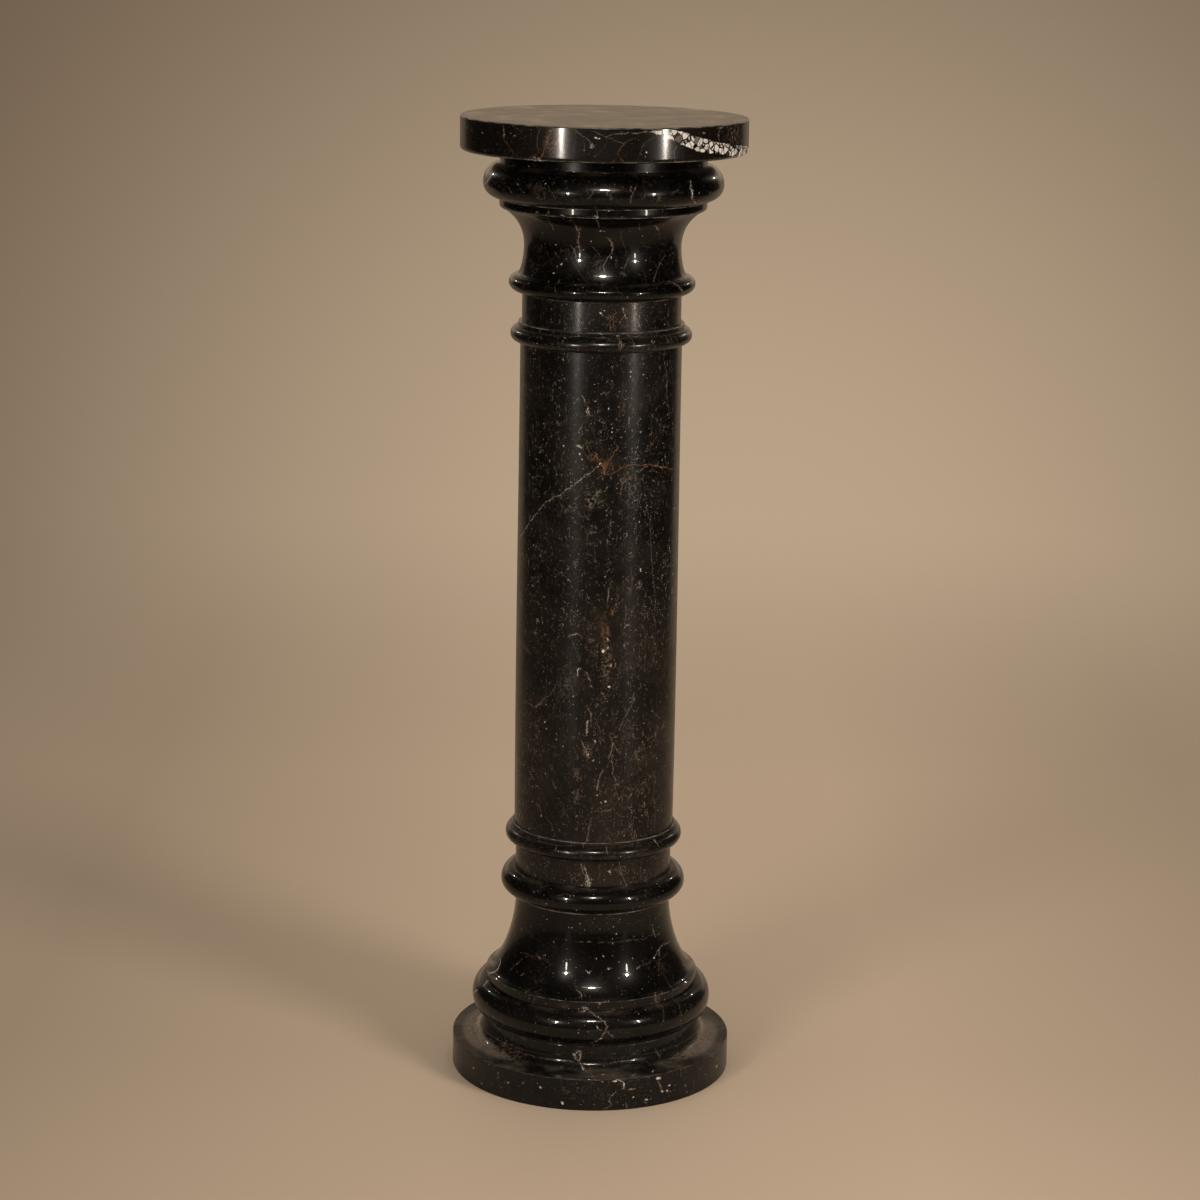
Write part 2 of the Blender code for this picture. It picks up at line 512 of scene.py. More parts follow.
@cache
def oval_stencil() -> bpy.types.NodeTree:
    """Make the group that adds one oval of mineral to what is already drawn.

    Returns:
        The group's tree.
    """
    names = ("Angle", "Down", "Round", "Below", "Wide", "Tall", "Far", "Near", "Strength", "Specks",
             "Under")
    bench, given, result = Bench.for_group("oval", names)
    place = bench.node("CombineXYZ", {0: given["Angle"], 1: given["Down"]}).outputs[0]
    middle = bench.node("CombineXYZ", {0: given["Round"], 1: given["Below"]}).outputs[0]
    shape = bench.node("CombineXYZ", {0: given["Wide"], 1: given["Tall"]}).outputs[0]
    away = bench.node("VectorMath", {0: place, 1: middle}, operation="SUBTRACT").outputs[0]
    away = bench.node("VectorMath", {0: away, 1: shape}, operation="MULTIPLY").outputs[0]
    away = bench.node("VectorMath", {0: away}, operation="LENGTH").outputs["Value"]
    shown = bench.calc("MULTIPLY", bench.ease(away, given["Far"], given["Near"]), given["Strength"])
    shown = bench.calc("MULTIPLY", shown, given["Specks"])
    bench.wire(result, bench.calc("MAXIMUM", shown, given["Under"]))
    return bench.tree


class MarblePainter:
    """Paints one stone's marble: it reads the object's own place and the distance down its face.

    Each sway is a noise's waves a metre and its reach in millimetres. The jag is cells a metre
    and their reach. What is named after a pattern is that noise's waves a metre. Fineness is
    how wide a line is drawn for each millimetre of its vein, and MM_A_DEGREE is the way round
    the column in one degree.
    """

    SWAYS: ClassVar[tuple[Point, ...]] = ((45.0, 3.2), (140.0, 2.6), (420.0, 2.6))
    JAG: ClassVar[Point] = (290.0, 0.8)
    CLOUDS: ClassVar[float] = 15.0
    SQUIGGLES: ClassVar[float] = 300.0
    SQUIGGLE_AREAS: ClassVar[float] = 18.0
    TANGLE_AREAS: ClassVar[float] = 24.0
    FLECK_CROWDS: ClassVar[float] = 30.0
    FLECK_BENDS: ClassVar[float] = 420.0
    VEIN_GAPS: ClassVar[float] = 210.0
    VEIN_SWELLS: ClassVar[float] = 240.0
    HAIRS: ClassVar[float] = 170.0
    RAGGED_EDGES: ClassVar[float] = 260.0
    DUST_AREAS: ClassVar[float] = 26.0
    WEAR_AREAS: ClassVar[float] = 75.0
    HAZE: ClassVar[float] = 45.0
    RIPPLES: ClassVar[float] = 55.0
    GRIT: ClassVar[float] = 900.0
    BUMP_HEIGHT: ClassVar[float] = 0.0001
    FINENESS: ClassVar[float] = 0.28
    THREAD: ClassVar[float] = 1e-12
    MM_A_DEGREE: ClassVar[float] = 1.7

    def __init__(self, name: str, marble: Marble, profile: Profile) -> None:
        """Set out the coordinates that every mark on the stone is placed by.

        Args:
            name: The material's name.
            marble: The block that the stone is cut from.
            profile: The stone's outline.
        """
        self.bench = Bench(name)
        self.marble = marble
        self.profile = profile
        bench = self.bench
        self.place = bench.node("TexCoord").outputs["Object"]
        parts = bench.node("SeparateXYZ", {0: self.place})
        ahead = bench.calc("MULTIPLY", parts.outputs["Y"], -1.0)
        turn = bench.calc("ARCTAN2", parts.outputs["X"], ahead)
        self.angle = bench.calc("DEGREES", turn)
        flat = bench.node("CombineXYZ", {0: parts.outputs["X"], 1: parts.outputs["Y"]})
        radius = bench.node("VectorMath", {0: flat.outputs[0]}, operation="LENGTH").outputs["Value"]
        degree = bench.calc("MULTIPLY", radius, math.radians(1.0) / MM)
        self.degree = bench.calc("MAXIMUM", degree, 0.2)
        self.down = bench.node("Attribute", attribute_name="down").outputs["Fac"]
        self.sway_coordinates()
        self.gaps = bench.ease(bench.noise(self.place, self.VEIN_GAPS, 4.0, 0.65).outputs["Fac"], 0.40, 0.58)
        swell = bench.noise(self.place, self.VEIN_SWELLS, 2.0).outputs["Fac"]
        self.swell = bench.span(swell, 0.32, 0.68, 0.25, 1.7)
        hair = self.ridge(bench.noise(self.place, self.HAIRS, 2.0, 0.5, 0.8).outputs["Fac"], 0.03)
        self.hair = bench.calc("MULTIPLY", hair, 0.55)
        self.specks = {}
        for grain in (Grain.FINE, Grain.COARSE):
            specks = bench.noise(self.place, grain.value, 3.0, 0.6).outputs["Fac"]
            self.specks[grain] = bench.ease(specks, 0.48, 0.60)

    def sway_coordinates(self) -> None:
        """Bend and crack the angle and the distance down, so that no line drawn by them is ruled.

        The jag shifts small blocks of stone against each other, as cracks do.
        """
        bench = self.bench
        across, along = 0.0, 0.0
        shifts = [(self.centred(bench.noise(self.place, waves, 1.0)), reach)
                  for waves, reach in self.SWAYS]
        shifts.append((self.centred(bench.cells(self.place, self.JAG[0])), self.JAG[1]))
        for shift, reach in shifts:
            across = bench.calc("MULTIPLY_ADD", shift[0], reach, across)
            along = bench.calc("MULTIPLY_ADD", shift[1], reach, along)
        turned = bench.calc("DIVIDE", across, self.degree)
        self.swayed_angle = bench.calc("ADD", self.angle, turned)
        self.swayed_down = bench.calc("ADD", self.down, along)

    def centred(self, noise: bpy.types.Node) -> tuple[Socket, Socket]:
        """Count a pattern's colour from its middle.

        Args:
            noise: A noise or cell node.

        Returns:
            Its first two channels.
        """
        parts = self.bench.node("SeparateColor", {0: noise.outputs["Color"]})
        return (self.bench.calc("SUBTRACT", parts.outputs[0], 0.5),
                self.bench.calc("SUBTRACT", parts.outputs[1], 0.5))

    def ridge(self, noise: Socket, width: float) -> Socket:
        """Return 1 along the lines where a noise crosses its middle, and 0 a width away."""
        away = self.bench.calc("ABSOLUTE", self.bench.calc("SUBTRACT", noise, 0.5))
        return self.bench.ease(away, width, width * 0.25)

    def after(self, under: object, place: Socket) -> Socket:
        """Hold a coordinate back until the mark drawn before is worked out.

        The renderer holds few numbers at a time. This makes it finish one mark, then start the next.

        Args:
            under: The mark drawn before.
            place: The coordinate.

        Returns:
            The coordinate, unchanged but for less than a thread's width.
        """
        return self.bench.calc("MULTIPLY_ADD", under, self.THREAD, place)

    def line(self, vein: Vein, under: object) -> Socket:
        """Add a vein to what is already drawn in its mineral.

        Args:
            vein: The vein.
            under: How much of the mineral shows without it.

        Returns:
            How much of the mineral shows with it.
        """
        bench = self.bench
        if vein.runs_down():
            along, aside, scale, soft = self.swayed_down, self.swayed_angle, self.degree, 2.0
            path = [(down, angle) for angle, down in vein.path]
            slope = (path[-1][1] - path[0][1]) * self.MM_A_DEGREE / (path[-1][0] - path[0][0])
        else:
            along, aside, scale, soft = self.swayed_angle, self.swayed_down, 1.0, 1.0
            path = list(vein.path)
            slope = (path[-1][1] - path[0][1]) / (path[-1][0] - path[0][0]) / self.MM_A_DEGREE
        along = self.after(under, along)
        return bench.stencil(line_stencil(), {
            "Along": along, "Aside": aside, "Path": bench.follow(along, path), "Scale": scale,
            "Swell": self.swell, "Gaps": self.gaps, "Hair": self.hair,
            "Half": vein.width * self.FINENESS * min(math.hypot(1.0, slope), 1.8),
            "Middle": (path[0][0] + path[-1][0]) / 2, "Reach": (path[-1][0] - path[0][0]) / 2,
            "Soft": soft, "Strength": vein.strength, "Broken": vein.broken, "Under": under})

    def oval(self, patch: Patch, under: object) -> Socket:
        """Add a patch to what is already drawn in its mineral.

        Args:
            patch: The patch.
            under: How much of the mineral shows without it.

        Returns:
            How much of the mineral shows with it.
        """
        solid = patch.grain is Grain.SOLID
        return self.bench.stencil(oval_stencil(), {
            "Angle": self.after(under, self.swayed_angle), "Down": self.swayed_down,
            "Round": patch.middle[0], "Below": patch.middle[1],
            "Wide": self.MM_A_DEGREE / patch.reach[0], "Tall": 1.0 / patch.reach[1],
            "Far": 1.05 if solid else 1.3, "Near": 0.5 if solid else 0.3,
            "Strength": patch.strength, "Specks": 1.0 if solid else self.specks[patch.grain],
            "Under": under})

    def ground(self) -> Socket:
        """Cloud the ground of the stone.

        Returns:
            The clouded ground's colour.
        """
        bench, marble = self.bench, self.marble
        drift = bench.noise(self.place, self.CLOUDS, 6.0, 0.62, 0.6).outputs["Fac"]
        clouds = bench.calc("MULTIPLY", bench.ease(drift, 0.40, 0.70), marble.cloud_share)
        return bench.blend(marble.ground, marble.cloud, clouds)

    def stretched(self) -> Socket:
        """Return the object's place drawn out along the axis, for marks that run down the stone."""
        squeeze = (1.0, 1.0, 1.0 / self.marble.streaks)
        return self.bench.node("VectorMath", {0: self.place, 1: squeeze},
                               operation="MULTIPLY").outputs[0]

    def speckled(self, under: Socket) -> Socket:
        """Lay a fine mottle of short pale squiggles over a colour, thicker in some places.

        Args:
            under: The colour so far.

        Returns:
            The colour with the squiggles.
        """
        bench, marble = self.bench, self.marble
        place = self.stretched()
        where = bench.ease(bench.noise(place, self.SQUIGGLE_AREAS, 3.0, 0.6).outputs["Fac"], 0.38, 0.66)
        fine = bench.noise(place, self.SQUIGGLES, 2.0, 0.55, 0.8)
        parts = bench.node("SeparateColor", {0: fine.outputs["Color"]})
        squiggle = bench.calc("MULTIPLY", self.ridge(parts.outputs[0], 0.024),
                              bench.ease(parts.outputs[1], 0.50, 0.58))
        shown = bench.calc("MULTIPLY", squiggle, bench.calc("MULTIPLY_ADD", where, 0.8, 0.2))
        shown = bench.calc("MULTIPLY", shown, marble.speckle)
        tint = bench.blend(Tint.TAN.value, Tint.WHITE.value, bench.ease(parts.outputs[2], 0.42, 0.62))
        return bench.blend(under, tint, shown)

    def tangled(self, under: Socket) -> Socket:
        """Lay a tangle of hair seams over a colour.

        Args:
            under: The colour so far.

        Returns:
            The colour with the seams.
        """
        bench, marble = self.bench, self.marble
        place = self.stretched()
        where = bench.ease(bench.noise(self.place, self.TANGLE_AREAS, 3.0).outputs["Fac"], 0.46, 0.64)
        for scale, width, tint in ((30.0, 0.0060, Tint.CREAM), (64.0, 0.010, Tint.TAN)):
            drift = bench.noise(place, scale, 4.0, 0.55, 0.9).outputs["Fac"]
            hair = bench.calc("MULTIPLY", self.ridge(drift, width), where)
            hair = bench.calc("MULTIPLY", hair, bench.calc("MULTIPLY_ADD", self.gaps, -0.8, 1.0))
            hair = bench.calc("MULTIPLY", hair, marble.tangle)
            under = bench.blend(under, tint.value, hair)
        return under

    def flecked(self, under: Socket) -> Socket:
        """Scatter pale flecks over a colour: many small ones and a few larger.

        Args:
            under: The colour so far.

        Returns:
            The colour with the flecks.
        """
        bench, marble = self.bench, self.marble
        bent = bench.noise(self.place, self.FLECK_BENDS, 2.0).outputs["Color"]
        place = bench.node("VectorMath", {0: bent, 1: (0.003,) * 3, 2: self.place},
                           operation="MULTIPLY_ADD").outputs[0]
        crowd = bench.noise(self.place, self.FLECK_CROWDS, 2.0).outputs["Fac"]
        crowd = bench.span(crowd, 0.35, 0.65, marble.sparks - 0.10, marble.sparks + 0.05)
        for scale, size, share, tint in ((280.0, 0.16, 0.84, Tint.TAN), (240.0, 0.15, 0.84, Tint.CREAM),
                                         (280.0, 0.24, 0.84, Tint.WHITE)):
            cells = bench.cells(place, scale)
            lot = bench.node("SeparateColor", {0: cells.outputs["Color"]}).outputs
            chosen = bench.ease(bench.calc("ADD", lot[0], crowd), share - 0.01, share + 0.01)
            reach = bench.span(lot[1], 0.0, 1.0, size * 0.35, size)
            spot = bench.ease(cells.outputs["Distance"], reach, bench.calc("MULTIPLY", reach, 0.4))
            spot = bench.calc("MULTIPLY", bench.calc("MULTIPLY", spot, chosen),
                              bench.span(lot[2], 0.0, 1.0, 0.3, 1.0))
            spot = bench.calc("MULTIPLY", spot, marble.flecks)
            under = bench.blend(under, tint.value, spot)
        return under

    def crushed(self, under: Socket) -> Socket:
        """Fill each crushed band with broken white pieces in a dark matrix.

        Args:
            under: The colour so far.

        Returns:
            The colour with the bands.
        """
        bench = self.bench
        for band in self.marble.bands:
            upper = bench.follow(self.angle, list(band.upper))
            lower = bench.follow(self.angle, list(band.lower))
            inside = bench.calc("MINIMUM", bench.calc("SUBTRACT", self.down, upper),
                                bench.calc("SUBTRACT", lower, self.down))
            ragged = bench.noise(self.place, self.RAGGED_EDGES, 2.0).outputs
            inside = bench.calc("ADD", inside, bench.span(ragged["Fac"], 0.35, 0.65, -0.7, 0.5))
            past = bench.calc("SUBTRACT", self.angle, band.upper[0][0])
            inside = bench.calc("MULTIPLY", bench.ease(inside, -0.1, 0.25), bench.ease(past, -0.5, 1.0))
            place = bench.node("VectorMath", {0: ragged["Color"], 1: (0.0016,) * 3, 2: self.place},
                               operation="MULTIPLY_ADD").outputs[0]
            lot = bench.node("SeparateColor", {0: bench.cells(place, band.clast).outputs["Color"]})
            white = bench.span(lot.outputs[0], 0.05, 0.24, 0.1, 1.0)
            for pieces, narrow, wide in ((band.clast, 0.02, 0.15), (band.clast * 2.3, -0.05, 0.12)):
                rim = bench.cells(place, pieces, "DISTANCE_TO_EDGE").outputs["Distance"]
                crack = bench.span(lot.outputs[1], 0.2, 1.0, narrow, wide)
                solid = bench.ease(rim, crack, bench.calc("ADD", crack, 0.05))
                white = bench.calc("MULTIPLY", white, solid)
            matrix = bench.blend(under, Tint.BLACK.value, bench.calc("MULTIPLY", inside, 0.4))
            under = bench.blend(matrix, Tint.CHALK.value, bench.calc("MULTIPLY", inside, white))
        return under

    def marked(self, under: Socket) -> Socket:
        """Draw the named patches and veins over a colour, one mineral at a time.

        Args:
            under: The colour so far.

        Returns:
            The colour with the marks.
        """
        bench, marble = self.bench, self.marble
        for tint in reversed(Tint):
            shown = 0.0
            for patch in marble.patches:
                if patch.tint is tint:
                    shown = self.oval(patch, shown)
            for vein in marble.veins:
                if vein.tint is tint:
                    shown = self.line(vein, shown)
            under = bench.blend(under, tint.value, shown)
        return under

    def settled(self) -> Socket:
        """Let dust settle on level faces and in the hollow corners.

        Returns:
            How much of it lies at each place.
        """
        bench = self.bench
        facing = bench.node("SeparateXYZ", {0: bench.node("NewGeometry").outputs["Normal"]})
        level = bench.ease(facing.outputs["Z"], 0.75, 0.99)
        down = self.profile.down()
        for crease in self.profile.creases:
            near = bench.calc("ABSOLUTE", bench.calc("SUBTRACT", self.down, down[crease]))
            level = bench.calc("MAXIMUM", level, bench.calc("MULTIPLY", bench.ease(near, 1.6, 0.2), 0.6))
        drift = bench.noise(self.place, self.DUST_AREAS, 6.0, 0.68).outputs["Fac"]
        cover = self.marble.dust_cover
        return bench.calc("MULTIPLY", level, bench.ease(drift, 0.38 - cover, 0.66 - cover))

    def worn_and_highlit(self) -> Socket:
        """Rub the standing edges unevenly, and paint highlight lines along them.

        Returns:
            How much rubbing and painted highlight lies at each place.
        """
        bench = self.bench
        down = self.profile.down()
        wear_and_highlight = 0.0
        for arris, share in self.profile.arrises.items():
            near = bench.calc("ABSOLUTE", bench.calc("SUBTRACT", self.down, down[arris]))
            edge = bench.calc("MULTIPLY", bench.ease(near, 0.9, 0.2), share)
            wear_and_highlight = bench.calc("MAXIMUM", wear_and_highlight, edge)
        drift = bench.noise(self.place, self.WEAR_AREAS, 4.0, 0.6).outputs["Fac"]
        return bench.calc("MULTIPLY", wear_and_highlight, bench.span(drift, 0.42, 0.64, 0.12, 1.0))

    def paint(self) -> bpy.types.Material:
        """Lay the layers over each other and join them on the shader.

        Returns:
            The finished material.
        """
        bench, marble = self.bench, self.marble
        colour = self.crushed(self.flecked(self.tangled(self.speckled(self.ground()))))
        colour = self.marked(colour)
        wear_and_highlight = self.worn_and_highlit()
        dust = bench.calc("MULTIPLY", self.settled(), marble.dust)
        # Pale edge lines: partly rubbed stone, partly painted highlight on the arrises.
        colour = bench.blend(colour, Tint.WORN_AND_HIGHLIT.value, bench.calc("MULTIPLY", wear_and_highlight, marble.wear_and_highlight))
        colour = bench.blend(colour, Tint.DUST_AND_SHEEN.value, dust)
        shader = bench.shader.inputs
        bench.wire(shader["Base Color"], colour)
        haze = bench.noise(self.place, self.HAZE, 5.0, 0.6).outputs["Fac"]
        rough = bench.span(haze, 0.3, 0.7, marble.roughness * 0.85, marble.roughness * 1.2)
        dull = bench.calc("MAXIMUM", dust, bench.calc("MULTIPLY", wear_and_highlight, 0.25))
        bench.wire(shader["Roughness"], bench.calc("MULTIPLY_ADD", dull, 0.5, rough, clamp=True))
        bench.wire(shader["Coat Weight"], bench.calc("MULTIPLY_ADD", dull, -marble.polish, marble.polish,
                                                     clamp=True))
        shader["Coat Roughness"].default_value = marble.polish_roughness
        shader["Specular IOR Level"].default_value = marble.shine
        ripple = bench.noise(self.place, self.RIPPLES, 2.0).outputs["Fac"]
        grit = bench.noise(self.place, self.GRIT, 2.0).outputs["Fac"]
        height = bench.calc("MULTIPLY_ADD", bench.calc("MULTIPLY", grit, dull), 0.5, ripple)
        bump = bench.node("Bump", {"Strength": 0.35, "Distance": self.BUMP_HEIGHT,
                                   "Height": height})
        bench.wire(shader["Normal"], bump.outputs[0])
        return bench.material


@dataclass
class Stone:
    """One turned stone. A kind of stone gives its outline and its marble."""

    node: ClassVar[str] = ""
    sides: ClassVar[int] = 256
    merge: ClassVar[float] = 1e-5
    edge_angle: ClassVar[float] = 40.0
    joint_gap: ClassVar[float] = 0.0003

    def outline(self) -> Profile:
        """Return the stone's outline."""
        raise NotImplementedError

    def marble(self) -> Marble:
        """Return the block that the stone is cut from."""
        raise NotImplementedError

    def turned(self, profile: Profile) -> bpy.types.Object:
        """Turn an outline about the axis.

        Args:
            profile: The outline.

        Returns:
            The stone, closed on the axis at both ends.
        """
        shape = bmesh.new()
        down = shape.verts.layers.float.new("down")
        points = []
        for (radius, height), run in zip(profile.points, profile.down()):
            point = shape.verts.new((radius, 0.0, height))
            point[down] = run
            points.append(point)
        edges = [shape.edges.new(pair) for pair in zip(points, points[1:])]
        bmesh.ops.spin(shape, geom=points + edges, cent=(0, 0, 0), axis=(0, 0, 1),
                       angle=math.tau, steps=self.sides, use_merge=True)
        bmesh.ops.remove_doubles(shape, verts=shape.verts[:], dist=self.merge)
        bmesh.ops.recalc_face_normals(shape, faces=shape.faces[:])
        mesh = bpy.data.meshes.new(self.node + "_stone")
        shape.to_mesh(mesh)
        shape.free()
        mesh.shade_smooth()
        mesh.set_sharp_from_angle(angle=math.radians(self.edge_angle))
        piece = bpy.data.objects.new(self.node + "_stone", mesh)
        bpy.context.scene.collection.objects.link(piece)
        return piece

    def build(self) -> bpy.types.Object:
        """Turn the stone, dress it and put it in its place in the frame.

        Returns:
            The finished piece.
        """
        profile = self.outline()
        marble = self.marble()
        piece = self.turned(profile)
        piece.data.materials.append(MarblePainter(self.node + "_marble", marble, profile).paint())
        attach(piece, "root")
        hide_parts(self.node)
        LOG.info("%s: %d faces, %d veins", piece.name, len(piece.data.polygons), len(marble.veins))
        return piece


@dataclass
class TopSlab(Stone):
    """The round slab on top."""

    node: ClassVar[str] = "top_slab"
    radius: float = 0.1505
    top: float = 1.0438
    foot: float = 1.0080
    top_arris: float = 0.0012
    under_edge: float = 0.0045

    def outline(self) -> Profile:
        """Flat top, upright side, softly rounded lower edge.

        Returns:
            The stone's outline.
        """
        profile = Profile(self.top)
        profile.upper_edge(self.radius, self.top, self.top_arris)
        profile.set_rim()
        profile.lower_edge(self.radius, self.foot, self.under_edge, 8)
        profile.close()
        return profile

    def marble(self) -> Marble:
        """Black marble crossed by a white crushed band.

        Returns:
            The block that the stone is cut from.
        """
        veins = (
            Vein(((-43, 0), (-42.5, 8), (-42, 14), (-40, 20), (-37.5, 29), (-39, 34), (-42, 41)),
                 Tint.TAN, 1.1, 0.9),
            Vein(((-42.8, 4), (-42.3, 9), (-42, 13)), Tint.CREAM, 1.4, 0.7),
            Vein(((-38, 1), (-36, 3), (-33.5, 5)), Tint.CREAM, 0.7, 0.6),
            Vein(((-26.5, 0), (-26, 6), (-26.5, 12), (-26.5, 19), (-26, 25), (-28, 29), (-30, 33)),
                 Tint.ROSE, 0.9, 0.9),
            Vein(((-21, 0), (-21.5, 8), (-23, 15), (-23.5, 22), (-24.5, 28), (-27, 33), (-30, 39)),
                 Tint.RUST, 1.5, 0.85, 0.7),
            Vein(((-20.5, 2), (-22, 11), (-22.8, 18), (-23, 25)), Tint.CREAM, 0.9, 0.8, 0.9),
            Vein(((-12.5, 0), (-10, 4), (-7, 9), (-5.5, 13), (-4.2, 17), (-4, 21)), Tint.CREAM, 0.8, 0.8),
            Vein(((-6, 2), (-2, 5), (1, 8), (4, 11), (7.5, 14)), Tint.CREAM, 0.7, 0.8),
            Vein(((7.5, 14), (8.5, 11.5), (10, 10), (12, 9)), Tint.TAN, 0.7, 0.8),
            Vein(((7.5, 14), (6, 20), (5, 24), (6.5, 29), (7.5, 33)), Tint.RUST, 0.8, 0.9, 0.6),
            Vein(((0.5, 7), (3, 5), (6, 4.5), (9, 3.5), (13, 4.5), (16, 1.5), (18, 2.5), (20, 3)),
                 Tint.CREAM, 0.9, 0.9, 0.5),
            Vein(((-9.5, 6), (-8, 11), (-7.5, 17), (-8, 22)), Tint.GREY, 0.7, 0.8),
            Vein(((1, 9), (0.5, 15), (-1, 21), (-3, 27)), Tint.GREY, 0.8, 0.8),
            Vein(((19.5, 7), (17.5, 11), (16, 15), (14.5, 20), (13, 27)), Tint.GREY, 0.8, 0.9, 0.2),
            Vein(((18, 9), (15.5, 14), (14, 19)), Tint.GREY, 0.7, 0.8),
            Vein(((-11.5, 3), (-11, 12), (-11.5, 22), (-12, 30), (-11, 35)), Tint.GREY, 1.0, 0.7),
            Vein(((29, 17), (28, 22), (28, 28), (29, 34)), Tint.CREAM, 0.7, 0.7),
            Vein(((49, 0), (50.5, 4), (50, 9), (50.5, 14)), Tint.CREAM, 0.9, 0.8),
            Vein(((9, 24), (7, 27), (4, 30), (3, 36)), Tint.TAN, 0.6, 0.7),
            Vein(((-54, 27), (-53, 31)), Tint.GREY, 2.0, 0.8),
            Vein(((-74, 2), (-66, 9), (-60, 13)), Tint.GREY, 0.7, 0.5),
            # The sides and the back, and then the top, made up in keeping
            Vein(((96, 0), (99, 9), (97, 18), (101, 28), (100, 36)), Tint.TAN, 1.0),
            Vein(((118, 4), (124, 9), (133, 12), (140, 20), (149, 23)), Tint.CREAM, 0.8),
            Vein(((-98, 0), (-101, 12), (-99, 22), (-103, 35)), Tint.RUST, 1.1, 0.8),
            Vein(((-152, 22), (-141, 16), (-130, 12), (-119, 13)), Tint.CREAM, 0.8),
            Vein(((-150, 0), (-148, 9), (-152, 20), (-151, 34)), Tint.TAN, 0.9),
            Vein(((160, 0), (163, 10), (158, 21), (160, 33)), Tint.TAN, 0.9),
            Vein(((-48, -4), (-36, -38), (-16, -70), (14, -86), (44, -74), (62, -44), (74, -6)),
                 Tint.CREAM, 1.2, 0.8, 0.6),
            Vein(((96, -4), (112, -52), (140, -88), (174, -100)), Tint.TAN, 1.2, 0.8, 0.5),
            Vein(((-152, -5), (-132, -40), (-104, -62), (-78, -50), (-60, -20)), Tint.CREAM, 1.0,
                 0.7, 0.6),
        )
        patches = (
            Patch((-28, 35), (7, 5), Tint.CREAM, 0.95, Grain.COARSE),
            Patch((-27, 34), (4, 3), Tint.WHITE, 0.9, Grain.COARSE),
            Patch((-4.3, 17), (1.6, 3.4), Tint.WHITE, 0.8, Grain.FINE),
            Patch((-3.3, 9), (1.4, 1.1), Tint.WHITE, 0.8),
            Patch((-2, 9), (0.8, 0.8), Tint.WHITE, 0.8),
            Patch((16, 23), (1.0, 0.8), Tint.WHITE),
            Patch((-55.5, 11), (1.7, 1.0), Tint.CREAM, 0.8),
            Patch((-37, 11), (1.4, 0.8), Tint.CREAM, 0.8),
            Patch((-64, 10), (1.2, 0.8), Tint.TAN, 0.7),
            Patch((42, 5), (1.6, 0.8), Tint.CREAM, 0.8),
            Patch((51, 1), (4, 1.4), Tint.CREAM, 0.9, Grain.FINE),
            Patch((62, 9), (10, 11), Tint.TAN, 0.9, Grain.COARSE),
            Patch((-21, 14), (5, 14), Tint.RUST, 0.5, Grain.FINE),
            Patch((19, 3), (5, 3), Tint.CREAM, 0.7, Grain.COARSE),
        )
        band = Band(((18, 2), (23, 0.5), (28, 1), (32, 3.5), (37, 8), (42, 11), (47, 14), (52, 17),
                     (57, 18.5), (62, 21), (70, 23), (80, 26), (100, 34)),
                    ((18, 3), (23, 7), (28, 12), (32, 17), (38, 23), (43, 25), (48, 27), (53, 29),
                     (58, 31), (63, 33), (70, 35), (80, 38), (100, 42)))
        return Marble(ground=(0.0060, 0.0045, 0.0035), cloud=(0.0120, 0.0095, 0.0078),
                      dust=0.36, dust_cover=0.08, polish=0.26, polish_roughness=0.12,
                      veins=veins, patches=patches, bands=(band,))


